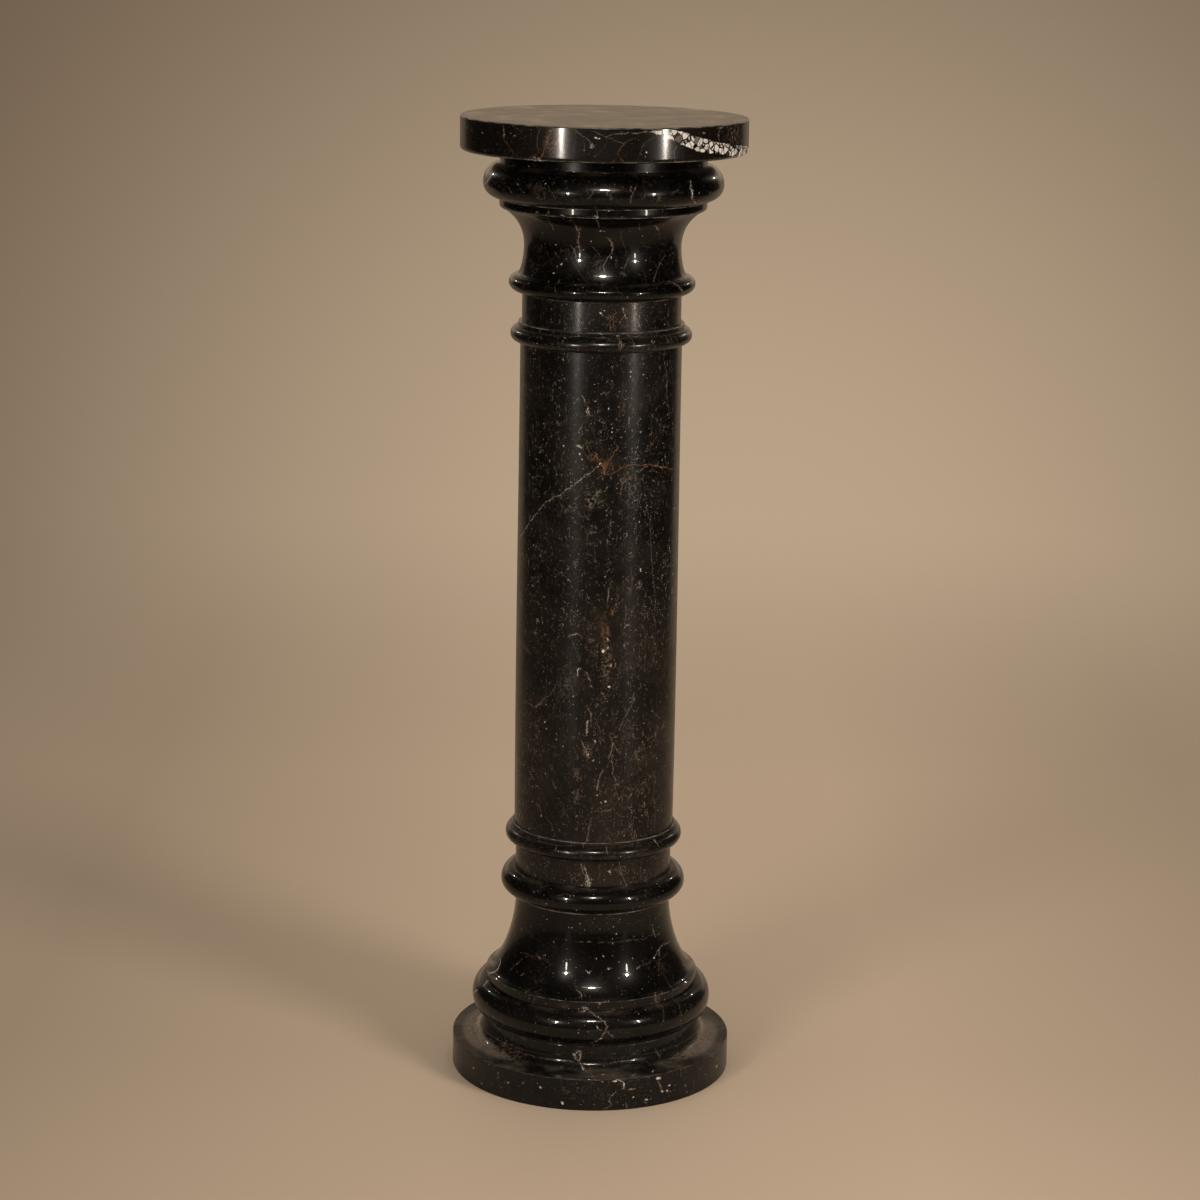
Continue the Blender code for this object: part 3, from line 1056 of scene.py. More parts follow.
@dataclass
class Capital(Stone):
    """Neck, big roll, list, hollow bell and collar, cut from one block."""

    node: ClassVar[str] = "capital"
    top: float = 1.0080
    foot: float = 0.8602
    neck_radius: float = 0.1084
    roll_radius: float = 0.1262
    roll_top: float = 0.9952
    roll_belly: float = 0.9745
    roll_foot: float = 0.9583
    roll_foot_radius: float = 0.1082
    list_radius: float = 0.1090
    list_foot: float = 0.9478
    list_rounding: float = 0.0042
    bell_head: Point = (0.0998, 0.9443)
    bell_head_pull: Point = (0.0918, 0.9383)
    throat: Point = (0.0828, 0.9090)
    throat_pull_up: float = 0.9270
    throat_pull_down: float = 0.8970
    bell_foot_pull: Point = (0.0853, 0.8838)
    bell_foot: Point = (0.0888, 0.8788)
    collar: Point = (0.0984, 0.8702)
    collar_foot_radius: float = 0.0845
    crease: float = 0.0004

    def outline(self) -> Profile:
        """Follow the mouldings from the neck down to the collar.

        Returns:
            The stone's outline.
        """
        profile = Profile(self.top - self.joint_gap)
        profile.to(self.neck_radius, self.top - self.joint_gap)
        profile.set_rim()
        profile.to(self.neck_radius, self.roll_top)
        profile.crease()
        profile.roll((self.neck_radius, self.roll_top), (self.roll_radius, self.roll_belly),
                     (self.roll_foot_radius, self.roll_foot), 18)
        profile.crease()
        profile.to(self.list_radius, self.roll_foot - self.crease)
        profile.arris()
        profile.lower_edge(self.list_radius, self.list_foot, self.list_rounding, 8)
        profile.sweep(self.bell_head, self.bell_head_pull,
                      (self.throat[0], self.throat_pull_up), self.throat)
        profile.sweep(self.throat, (self.throat[0], self.throat_pull_down),
                      self.bell_foot_pull, self.bell_foot, 18)
        profile.crease()
        profile.roll(self.bell_foot, self.collar, (self.collar_foot_radius, self.foot), 12)
        profile.close()
        return profile

    def marble(self) -> Marble:
        """Black marble with fine pale veins.

        Returns:
            The block that the stone is cut from.
        """
        veins = (
            Vein(((-69, 32), (-70, 36), (-73, 40), (-79, 43)), Tint.WHITE, 2.0, 0.95, 0.2),
            Vein(((46, 30), (44.5, 37), (45.5, 43), (46, 48), (49, 53), (51, 56)), Tint.WHITE, 1.3,
                 0.95, 0.7),
            Vein(((-33, 33), (-33.5, 38), (-32.5, 46)), Tint.TAN, 0.9, 0.5),
            Vein(((-31, 30), (-31, 38), (-31.5, 45), (-31, 53), (-32, 68)), Tint.TAN, 0.9, 0.5),
            Vein(((-28, 32), (-29, 38), (-28, 47)), Tint.TAN, 0.9, 0.5),
            Vein(((-27, 34), (-25, 40), (-23, 46), (-22, 50)), Tint.TAN, 0.7, 0.7),
            Vein(((-8, 36), (-7, 42), (-5, 47)), Tint.TAN, 0.9, 0.8),
            Vein(((-4, 38), (-6, 43), (-7.5, 48)), Tint.CREAM, 0.7, 0.7),
            Vein(((2, 36), (1.5, 42), (4, 47)), Tint.CREAM, 0.7, 0.8),
            Vein(((5.5, 38), (3, 42), (5, 46)), Tint.CREAM, 0.7, 0.8),
            Vein(((13, 33), (12.5, 37), (13.5, 42), (13, 47), (12.5, 52)), Tint.CREAM, 1.0, 0.9, 0.7),
            Vein(((15, 34), (13.5, 40)), Tint.CREAM, 0.8, 0.8),
            Vein(((19, 33), (19.5, 46)), Tint.GREY, 0.7, 0.8),
            Vein(((33, 44), (35, 40), (37, 38)), Tint.TAN, 0.9, 0.8),
            Vein(((26, 42), (26.5, 50), (25, 56)), Tint.TAN, 0.9, 0.6),
            Vein(((-50, 40), (-48, 46)), Tint.TAN, 0.9, 0.8),
            Vein(((-4, 56), (-3.5, 72), (-3, 77), (-4, 84), (-2.5, 92), (-1.5, 97)), Tint.CREAM, 1.0,
                 0.9, 0.5),
            Vein(((-31, 74), (-33, 84), (-35, 92), (-35, 98), (-33.5, 105)), Tint.ROSE, 1.2, 0.9, 0.4),
            Vein(((-18, 75), (-19, 84), (-17.5, 92), (-17, 98)), Tint.ROSE, 1.0, 0.8),
            Vein(((-17, 95), (-17, 101), (-16, 107), (-17.5, 114), (-17, 121), (-15.5, 127)),
                 Tint.ROSE, 2.0, 1.0, 0.2),
            Vein(((-16.6, 97), (-16.3, 107), (-17.2, 116)), Tint.CREAM, 1.0, 0.7, 0.5),
            Vein(((-14.5, 94), (-13.5, 98), (-15.5, 103)), Tint.CREAM, 0.7, 0.8),
            Vein(((-23, 121), (-21, 125), (-19, 129), (-19, 133)), Tint.CREAM, 0.9, 0.9),
            Vein(((-17, 121), (-20, 126), (-21, 131)), Tint.ROSE, 0.9, 0.8),
            Vein(((-25, 125), (-24, 131), (-21, 138), (-18, 145), (-14, 153), (-9, 159)), Tint.TAN,
                 0.6, 0.7, 0.6),
            Vein(((1, 109), (4, 112), (6.5, 117), (7.5, 123), (7, 129), (4, 133), (1.5, 138),
                  (1, 143), (2.5, 150)), Tint.CREAM, 0.9, 1.0, 0.2),
            Vein(((2, 133), (0, 137), (-2, 142), (-1, 148)), Tint.GREY, 0.8, 0.9),
            Vein(((11.5, 103), (12, 110), (14, 117), (16.5, 124), (16.5, 130), (14, 134)), Tint.GREY,
                 0.7, 0.9),
            Vein(((19, 134), (17, 140), (15.5, 145), (12, 151)), Tint.CREAM, 0.9, 0.7, 0.8),
            Vein(((-8, 120), (-4, 126), (-1, 131)), Tint.RUST, 0.7, 0.9),
            Vein(((35, 97), (37, 101), (39.5, 105)), Tint.CREAM, 1.2, 0.9, 0.2),
            Vein(((22, 91), (23, 98), (25, 104)), Tint.TAN, 0.8, 0.8),
            Vein(((41, 107), (43.5, 112)), Tint.TAN, 0.8, 0.8),
            Vein(((52, 132), (46, 140), (42, 147), (39, 153), (36.5, 159)), Tint.TAN, 0.7, 0.9, 0.3),
            Vein(((28, 122), (32, 122), (36, 124)), Tint.TAN, 0.6, 0.7),
            Vein(((51, 160), (53, 168), (56, 173), (60, 180)), Tint.ROSE, 1.7, 1.0, 0.3),
            Vein(((52, 162), (53.5, 169), (57, 174)), Tint.CREAM, 0.9, 0.8, 0.4),
            Vein(((-31, 158), (-30, 166), (-29, 176)), Tint.ROSE, 1.1, 0.8),
            Vein(((-57, 176), (-54, 171), (-51, 169)), Tint.TAN, 0.9, 0.8),
            Vein(((8, 163), (9, 170), (12, 175), (11, 180)), Tint.TAN, 0.9, 0.7),
            # The sides and the back, made up in keeping
            Vein(((86, 12), (89, 30), (84, 52), (90, 76), (87, 104), (92, 130)), Tint.TAN, 0.9, 0.9),
            Vein(((122, 36), (128, 46), (126, 60), (133, 82), (131, 108), (138, 136), (135, 160)),
                 Tint.ROSE, 1.0, 0.9),
            Vein(((-96, 30), (-99, 44), (-95, 58), (-101, 90), (-97, 120), (-104, 150)), Tint.CREAM,
                 0.8, 0.9, 0.6),
            Vein(((-128, 84), (-124, 98), (-129, 112), (-121, 130), (-125, 150)), Tint.TAN, 0.9),
            Vein(((-163, 96), (-150, 104), (-141, 114), (-128, 118)), Tint.CREAM, 0.7),
            Vein(((158, 100), (152, 112), (156, 128), (149, 146), (151, 170)), Tint.TAN, 0.9),
        )
        patches = (
            Patch((-3, 141), (9, 10), Tint.GREY, 0.55, Grain.COARSE),
            Patch((15, 148), (6, 5), Tint.GREY, 0.6, Grain.COARSE),
            Patch((0, 161), (9, 4), Tint.GREY, 0.4, Grain.COARSE),
            Patch((-62, 114), (1.2, 0.9), Tint.TAN),
            Patch((-38, 77), (2.4, 1.2), Tint.CREAM, 0.8, Grain.FINE),
            Patch((-22, 77.5), (2.4, 1.1), Tint.WHITE, 0.8, Grain.FINE),
            Patch((-4, 77.5), (2.8, 1.2), Tint.WHITE, 0.8, Grain.FINE),
            Patch((10, 77.5), (2.2, 1.1), Tint.CREAM, 0.8, Grain.FINE),
            Patch((27, 46), (3.2, 5), Tint.TAN, 0.7, Grain.FINE),
            Patch((-31, 41), (8, 9), Tint.TAN, 0.2, Grain.COARSE),
            *spots(Tint.WHITE, (7, 133, 1, 1), (-1.5, 102, 0.9, 1.1), (-30, 141, 1.2, 0.9),
                   (-36, 152, 1.5, 0.8)),
            *spots(Tint.CREAM, (0.6, 102.5, 0.8, 0.9), (-33, 143.5, 0.9, 0.8), (-36, 130, 1.1, 0.7),
                   (-35, 122, 0.9, 1.1), (36, 146, 0.9, 0.7), (-44, 37, 0.9, 0.9), (-48, 45, 1.0, 0.8),
                   (51, 43, 1.1, 1.3)),
        )
        return Marble(veins=veins, patches=patches, polish=0.36)


@dataclass
class Shaft(Stone):
    """The long swelling column, with a band, a fillet and a bead at each end."""

    node: ClassVar[str] = "shaft"
    top: float = 0.8602
    foot: float = 0.2284
    arris_rounding: float = 0.0009
    crease: float = 0.0004
    band_radius: float = 0.0841
    fillet_height: float = 0.0046
    bead_height: float = 0.0170
    bead_share_above: float = 0.52
    head_fillet: Point = (0.0881, 0.8290)
    head_bead_radius: float = 0.0961
    column_head_radius: float = 0.0856
    column_upper_pull: float = 0.6600
    column_lower_pull: float = 0.5600
    column_belly: Point = (0.0870, 0.3650)
    column_foot_radius: float = 0.0867
    foot_fillet: Point = (0.0890, 0.2796)
    foot_bead_radius: float = 0.0962
    foot_band_radius: float = 0.0850

    def fillet_and_bead(self, profile: Profile, fillet: Point, bead_radius: float,
                        foot_radius: float) -> None:
        """Follow a thin fillet with a soft arris, and the bead under it.

        Args:
            profile: The outline so far.
            fillet: The fillet's radius and the height of its top.
            bead_radius: The bead's radius at its belly.
            foot_radius: The radius that the bead ends on.
        """
        radius, top = fillet
        under = top - self.fillet_height
        belly = (bead_radius, under - self.bead_height * self.bead_share_above)
        profile.crease()
        profile.upper_edge(radius, top, self.arris_rounding, 4)
        profile.roll((radius - self.crease, under), belly, (foot_radius, under - self.bead_height), 10)
        profile.crease()

    def outline(self) -> Profile:
        """Follow the head's mouldings, the column and the foot's mouldings.

        Returns:
            The stone's outline.
        """
        top = self.top - self.joint_gap
        profile = Profile(top)
        profile.upper_edge(self.band_radius, top, self.arris_rounding, 4)
        profile.set_rim()
        profile.to(self.band_radius, self.head_fillet[1])
        self.fillet_and_bead(profile, self.head_fillet, self.head_bead_radius,
                             self.column_head_radius)
        profile.sweep(profile.points[-1], (self.column_head_radius, self.column_upper_pull),
                      (self.column_belly[0], self.column_lower_pull), self.column_belly, 20)
        profile.to(self.column_foot_radius, self.foot_fillet[1])
        self.fillet_and_bead(profile, self.foot_fillet, self.foot_bead_radius,
                             self.foot_band_radius)
        profile.to(self.foot_band_radius, self.foot)
        profile.close()
        return profile

    def marble(self) -> Marble:
        """Brown-black marble, streaked down its length.

        Returns:
            The block that the stone is cut from.
        """
        veins = (
            Vein(((5, 11), (7, 16), (5.5, 21), (7, 28)), Tint.RUST, 1.2, 0.9),
            Vein(((8, 12), (9, 18), (8, 26)), Tint.TAN, 0.8, 0.8),
            Vein(((14.5, 5), (16, 11), (18, 17)), Tint.WHITE, 1.2, 0.9, 0.7),
            Vein(((22, 11), (24, 19), (25, 28)), Tint.CREAM, 0.9, 0.7),
            Vein(((28, 13), (27, 20), (29, 28)), Tint.CREAM, 0.8, 0.7),
            Vein(((-26, 12), (-27.5, 18), (-25, 26)), Tint.TAN, 0.9, 0.7),
            Vein(((11, 36), (11.5, 43), (13, 48), (12, 54)), Tint.CREAM, 1.3, 0.9, 0.4),
            Vein(((18.5, 36), (20, 43), (21.5, 50), (20.5, 58)), Tint.CREAM, 0.8, 0.9),
            Vein(((-28.5, 38), (-28, 44), (-26.5, 51)), Tint.TAN, 0.9, 0.8),
            Vein(((47.5, 38), (46, 45), (46.5, 52), (48, 58)), Tint.ROSE, 1.3, 0.8, 0.3),
            Vein(((50.5, 40), (49.5, 47), (50, 54)), Tint.TAN, 1.0, 0.8),
            Vein(((54, 44), (55.5, 50), (55, 57)), Tint.TAN, 1.0, 0.8),
            Vein(((-12.5, 111), (-10.5, 118), (-8.5, 126), (-7, 132)), Tint.CREAM, 1.1, 0.8, 0.4),
            Vein(((0.5, 109), (3, 106), (5, 109), (6, 114)), Tint.CREAM, 0.8, 0.9),
            Vein(((-12, 141), (-13.5, 146), (-14.5, 151)), Tint.CREAM, 0.8, 0.8),
            Vein(((-15.5, 163), (-14, 165), (-12.5, 167.5)), Tint.WHITE, 1.3, 0.95, 0.1),
            Vein(((-25, 170), (-27, 177), (-28, 182)), Tint.CREAM, 0.9, 0.7),
            Vein(((-76, 277), (-70, 270), (-64, 263), (-58, 255), (-52, 247), (-46, 237), (-40, 229),
                  (-34, 222), (-28, 218), (-23, 211), (-18, 206), (-14, 201), (-9, 194), (-5, 190),
                  (0, 184)), Tint.WHITE, 0.7, 0.75, 0.7),
            Vein(((-54, 250), (-50, 244), (-46, 237), (-42, 231), (-38, 227)), Tint.WHITE, 0.6, 0.8, 0.8),
            Vein(((-10, 158), (-9, 164), (-7.5, 170), (-6, 177)), Tint.RUST, 0.8, 1.0, 0.6),
            Vein(((-6.5, 176), (-3, 176), (1, 177), (4, 179)), Tint.RUST, 0.9, 1.0, 0.6),
            Vein(((13, 164), (11, 169), (9, 174), (7, 179), (5.5, 185), (4, 191)), Tint.RUST, 1.0, 1.0, 0.5),
            Vein(((0, 179), (2, 184), (4, 189), (4.5, 194)), Tint.RUST, 1.6, 1.0, 0.3),
            Vein(((-1, 188), (3, 193), (7, 193.5), (11, 191), (15, 186.5), (20, 184), (26, 184),
                  (32, 185), (40, 186), (46, 188), (52, 191), (58, 194), (64, 196)), Tint.RUST, 1.1,
                 1.0, 0.6),
            Vein(((23, 178), (27, 178), (31, 177)), Tint.RUST, 0.9, 0.8),
            Vein(((29, 190), (36, 187), (38, 181)), Tint.RUST, 0.9, 0.7),
            Vein(((13, 192), (12.5, 200), (14, 208), (13.5, 216), (11, 228)), Tint.BLACK, 3.0, 1.0, 0.1),
            Vein(((15, 198), (16.5, 205), (15, 213), (16.5, 222)), Tint.CREAM, 1.0, 0.7, 0.7),
            Vein(((20, 190), (21, 198), (19, 206), (18, 214)), Tint.TAN, 1.1, 0.8, 0.6),
            Vein(((36.5, 233), (38, 243), (39.5, 256), (40.5, 270), (41.5, 285), (42, 300), (43.5, 315),
                  (45, 330), (46.5, 343)), Tint.GREY, 1.0, 0.8, 0.2),
            Vein(((37, 236), (39.5, 258), (41, 280), (42.3, 303), (45, 328)), Tint.CREAM, 0.5, 0.4, 0.6),
            Vein(((45.5, 335), (45, 350), (46.5, 365)), Tint.TAN, 1.0, 0.8),
            Vein(((51, 78), (53, 88), (54.5, 98), (54, 108), (55, 120)), Tint.ROSE, 1.4, 0.9, 0.5),
            Vein(((55, 118), (57, 128), (58, 138)), Tint.TAN, 1.5, 0.8, 0.6),
            Vein(((38, 132), (39.5, 145), (38.5, 160), (39, 175)), Tint.TAN, 1.0, 0.7, 0.8),
            Vein(((16, 98), (15.5, 108), (16.5, 120), (15, 132)), Tint.TAN, 1.1, 0.6, 0.8),
            Vein(((10, 306), (8.5, 316), (7, 327), (7.5, 336)), Tint.TAN, 1.3, 0.9, 0.6),
            Vein(((8.5, 314), (7.5, 326)), Tint.CREAM, 1.0, 0.8, 0.6),
            Vein(((20.5, 334), (21.5, 342), (19.5, 350), (20.5, 358)), Tint.ROSE, 1.0, 0.9, 0.6),
            Vein(((24, 296), (25, 310), (24, 326)), Tint.GREY, 1.0, 0.8),
            Vein(((-20, 370), (-17, 367), (-14, 365.5), (-10, 367)), Tint.CREAM, 1.2, 0.85, 0.5),
            Vein(((-18, 370), (-15, 378), (-13, 386), (-12, 395)), Tint.TAN, 0.9, 0.8),
            Vein(((-12, 402), (-12.8, 406), (-12.2, 411)), Tint.WHITE, 1.6, 1.0, 0.1),
            Vein(((-7, 406), (-5, 412), (-4, 417), (-3, 423)), Tint.CREAM, 1.4, 0.9, 0.7),
            Vein(((-60, 450), (-54, 451.5), (-47, 452), (-43, 447), (-38, 440), (-33, 434), (-29, 424),
                  (-27, 414)), Tint.ROSE, 1.1, 1.0, 0.35),
            Vein(((-47, 452), (-44, 449), (-41, 446)), Tint.CREAM, 0.9, 0.8),
            Vein(((3.5, 345), (4.5, 355), (4, 365), (5.5, 375), (6.5, 385)), Tint.TAN, 1.6, 0.9, 0.7),
            Vein(((9, 423), (12, 421), (14.5, 416)), Tint.TAN, 0.9, 0.8),
            Vein(((12.5, 340), (13.5, 352), (12.5, 366), (13, 380)), Tint.BLACK, 1.5, 0.8, 0.2),
            Vein(((28, 430), (28.5, 440), (25, 447), (22.5, 453), (20, 460), (18, 465), (17, 471)),
                 Tint.CREAM, 0.8, 0.8),
            Vein(((25, 447), (23.5, 450), (22, 453)), Tint.ROSE, 1.5, 0.9),
            Vein(((-6, 445), (-4, 450), (-3, 457)), Tint.CREAM, 1.0, 0.9),
            Vein(((-5, 459), (-6, 467), (-5.5, 476)), Tint.WHITE, 1.3, 0.85, 0.8),
            Vein(((-10, 480), (-8, 487), (-6, 493), (-4.5, 501)), Tint.CREAM, 1.1, 0.8, 0.7),
            Vein(((1, 481), (-1, 486), (-2, 490)), Tint.CREAM, 0.9, 0.8, 0.7),
            Vein(((10.5, 476), (12.5, 483), (12, 491), (10, 500)), Tint.CREAM, 0.9, 0.9, 0.2),
            Vein(((13, 483), (15, 489), (17, 495)), Tint.CREAM, 0.8, 0.8),
            Vein(((14, 497), (12, 504), (13.5, 511), (13, 518), (16, 526)), Tint.CREAM, 0.8, 0.9),
            Vein(((6, 512), (4, 518), (3, 526), (2, 535)), Tint.CREAM, 1.0, 1.0, 0.1),
            Vein(((15, 528), (15.5, 537), (17.5, 546)), Tint.TAN, 1.0, 0.9),
            Vein(((16, 528), (19, 533)), Tint.CREAM, 0.9, 0.8),
            Vein(((-14, 512), (-12, 518), (-11, 526)), Tint.ROSE, 1.4, 0.8, 0.8),
            Vein(((-12, 534), (-11, 541), (-13, 548)), Tint.ROSE, 1.4, 0.8, 0.8),
            Vein(((-52, 559), (-46, 559.5), (-42, 563), (-40.5, 569)), Tint.TAN, 0.8, 0.9),
            Vein(((-37, 571), (-32, 576), (-30, 583), (-28, 592)), Tint.TAN, 0.9, 0.9),
            Vein(((-23, 555), (-21, 562), (-24, 569)), Tint.TAN, 0.8, 0.8),
            Vein(((-1, 566), (-2, 574), (-3.2, 581), (-5, 592), (-7, 604)), Tint.CREAM, 0.9, 0.9),
            Vein(((48, 522), (48.5, 536), (47, 550), (50, 570), (49.5, 588)), Tint.TAN, 1.0, 0.9),
            Vein(((28, 552), (27, 565), (28.5, 578), (28, 590)), Tint.TAN, 0.8, 0.8),
            Vein(((-25.5, 603), (-24.5, 607), (-25.5, 611)), Tint.CREAM, 1.2, 1.0),
            Vein(((47.5, 601), (47, 606), (48.5, 611)), Tint.WHITE, 1.2, 1.0, 0.3),
            Vein(((9, 599), (8.5, 605), (9.5, 611)), Tint.CREAM, 0.8, 0.8),
            Vein(((-9, 631), (-8, 638), (-6, 645), (-3.5, 652), (-1, 658)), Tint.CREAM, 1.3, 1.0, 0.5),
            Vein(((-5.5, 634), (-5, 643), (-3, 651), (-2, 659)), Tint.WHITE, 1.0, 0.9, 0.6),
            Vein(((5, 632), (5.5, 642), (4, 650)), Tint.TAN, 0.9, 0.8),
            Vein(((20, 631), (21, 641), (24, 652), (26, 659)), Tint.CREAM, 0.8, 0.8),
            # The sides and the back, made up in keeping
            Vein(((94, 84), (97, 130), (93, 175), (99, 220), (96, 262), (101, 306)), Tint.TAN, 1.2),
            Vein(((124, 330), (118, 352), (126, 380), (121, 410), (129, 446), (125, 480), (132, 520)),
                 Tint.CREAM, 0.9),
            Vein(((-98, 292), (-110, 301), (-121, 312), (-134, 316), (-146, 327), (-158, 331)),
                 Tint.CREAM, 0.9, 0.9),
            Vein(((-95, 460), (-104, 455), (-116, 462), (-128, 458)), Tint.RUST, 1.0),
            Vein(((84, 198), (97, 204), (110, 201), (124, 208)), Tint.RUST, 1.0, 0.9, 0.6),
            Vein(((-120, 100), (-117, 128), (-122, 150), (-118, 184), (-123, 214)), Tint.TAN, 1.1),
            Vein(((160, 120), (156, 170), (161, 218), (157, 260), (163, 300)), Tint.GREY, 1.2),
            Vein(((-166, 420), (-161, 452), (-167, 486), (-162, 520), (-166, 556)), Tint.TAN, 1.2),
        )
        patches = (
            Patch((-1, 9.5), (2.2, 1.2), Tint.WHITE, 0.9),
            Patch((2, 7), (0.9, 0.8), Tint.WHITE, 0.9),
            Patch((-16, 18), (4, 9), Tint.CREAM, 0.4, Grain.FINE),
            Patch((25, 17), (7, 9), Tint.CREAM, 0.35, Grain.FINE),
            Patch((12, 47), (2, 7), Tint.CREAM, 0.6, Grain.FINE),
            Patch((-8.6, 127), (1.6, 5), Tint.WHITE, 1.0, Grain.FINE),
            Patch((-37, 183), (1.6, 1.4), Tint.CREAM, 0.8, Grain.FINE),
            Patch((0, 183), (1.6, 1.4), Tint.WHITE, 1.0),
            Patch((-3, 175), (8, 6), Tint.RUST, 0.6, Grain.FINE),
            Patch((5, 185), (8, 9), Tint.RUST, 0.45, Grain.FINE),
            Patch((20, 200), (6, 12), Tint.TAN, 0.7, Grain.COARSE),
            Patch((24, 210), (12, 22), Tint.GREY, 0.8, Grain.COARSE),
            Patch((-6, 221), (7, 11), Tint.CREAM, 0.55, Grain.COARSE),
            Patch((0, 214), (5, 6), Tint.CREAM, 0.5, Grain.COARSE),
            Patch((-2.5, 238), (5.5, 9), Tint.BLACK, 0.95),
            Patch((8, 208), (4, 12), Tint.BLACK, 0.7),
            Patch((-4, 252), (6, 5), Tint.CREAM, 0.55, Grain.COARSE),
            Patch((31.5, 297), (1.1, 2.2), Tint.WHITE, 0.9),
            Patch((31, 313), (4, 5), Tint.CREAM, 0.8, Grain.FINE),
            Patch((-46, 358), (3.4, 3), Tint.CREAM, 0.8, Grain.FINE),
            Patch((-48, 370), (3.4, 3), Tint.CREAM, 0.8, Grain.FINE),
            Patch((11.5, 340), (3.4, 6), Tint.RUST, 0.7, Grain.FINE),
            Patch((6, 360), (7, 20), Tint.RUST, 0.36, Grain.COARSE),
            Patch((7, 395), (7, 26), Tint.TAN, 0.8, Grain.COARSE),
            Patch((5, 382), (1.6, 2.6), Tint.WHITE, 1.0),
            Patch((9, 422), (2.4, 1.5), Tint.WHITE, 1.0),
            Patch((5, 430), (3, 9), Tint.RUST, 0.6, Grain.COARSE),
            Patch((22, 356), (3, 1.2), Tint.ROSE, 0.9),
            Patch((-4, 371), (3.4, 4), Tint.RUST, 0.7, Grain.FINE),
            Patch((-20, 420), (14, 22), Tint.GREY, 0.6, Grain.COARSE),
            Patch((37, 391), (1.8, 6), Tint.TAN, 0.7, Grain.FINE),
            Patch((-4.6, 498), (2.0, 2.2), Tint.WHITE, 0.9, Grain.FINE),
            Patch((-5, 492), (6, 9), Tint.CREAM, 0.5, Grain.FINE),
            Patch((-12, 519), (5, 8), Tint.ROSE, 0.6, Grain.FINE),
            Patch((-12, 543), (4, 8), Tint.ROSE, 0.6, Grain.FINE),
            Patch((34, 500), (9, 10), Tint.TAN, 0.6, Grain.COARSE),
            Patch((45, 454), (1.3, 1.1), Tint.ROSE),
            Patch((-3.5, 652), (5, 7), Tint.WHITE, 0.7, Grain.FINE),
            Patch((12, 640), (3.4, 2.2), Tint.WHITE, 0.8, Grain.FINE),
            Patch((-35, 640), (2.6, 2), Tint.CREAM, 0.7, Grain.FINE),
            Patch((22, 640), (9, 6), Tint.TAN, 0.6, Grain.COARSE),
            Patch((-12, 644), (9, 6), Tint.TAN, 0.5, Grain.COARSE),
            *spots(Tint.WHITE, (6, 124, 1.0, 1.4), (21.5, 86, 0.9, 1.2), (21.5, 91, 1.2, 1.0),
                   (9, 145, 0.9, 0.9), (8.6, 149, 0.9, 1.1), (-25.5, 165, 1.1, 1.0), (-14.5, 173, 0.7, 1.2),
                   (-12.5, 179, 0.9, 1.1), (30, 246, 1.0, 1.2), (5, 303, 1.2, 1.0), (-51.5, 276, 1.6, 0.9),
                   (8, 379, 1.0, 1.2), (7.5, 370, 1.0, 1.4), (10, 399, 1.1, 1.1), (-38, 466, 1.3, 1.1),
                   (0.5, 483, 1.2, 1.0), (-1, 502, 0.9, 0.9), (5.8, 549.5, 0.9, 0.9),
                   (8.6, 548.5, 0.9, 0.9), (2.5, 541, 1.2, 1.0)),
            *spots(Tint.CREAM, (-3.5, 117, 1.6, 0.9), (-50, 184, 2.4, 0.9), (-52.5, 321, 1.6, 1.1),
                   (-45, 539, 1.2, 1.0), (-50, 542, 1.2, 0.9), (28, 600, 0.9, 0.9)),
        )
        return Marble(ground=(0.0042, 0.0033, 0.0027), cloud=(0.0200, 0.0158, 0.0130), cloud_share=0.8,
                      streaks=1.7, speckle=0.5, tangle=0.4, flecks=0.75, sparks=0.12, shine=0.12,
                      roughness=0.31, polish=0.36, polish_roughness=0.17, veins=veins,
                      patches=patches)


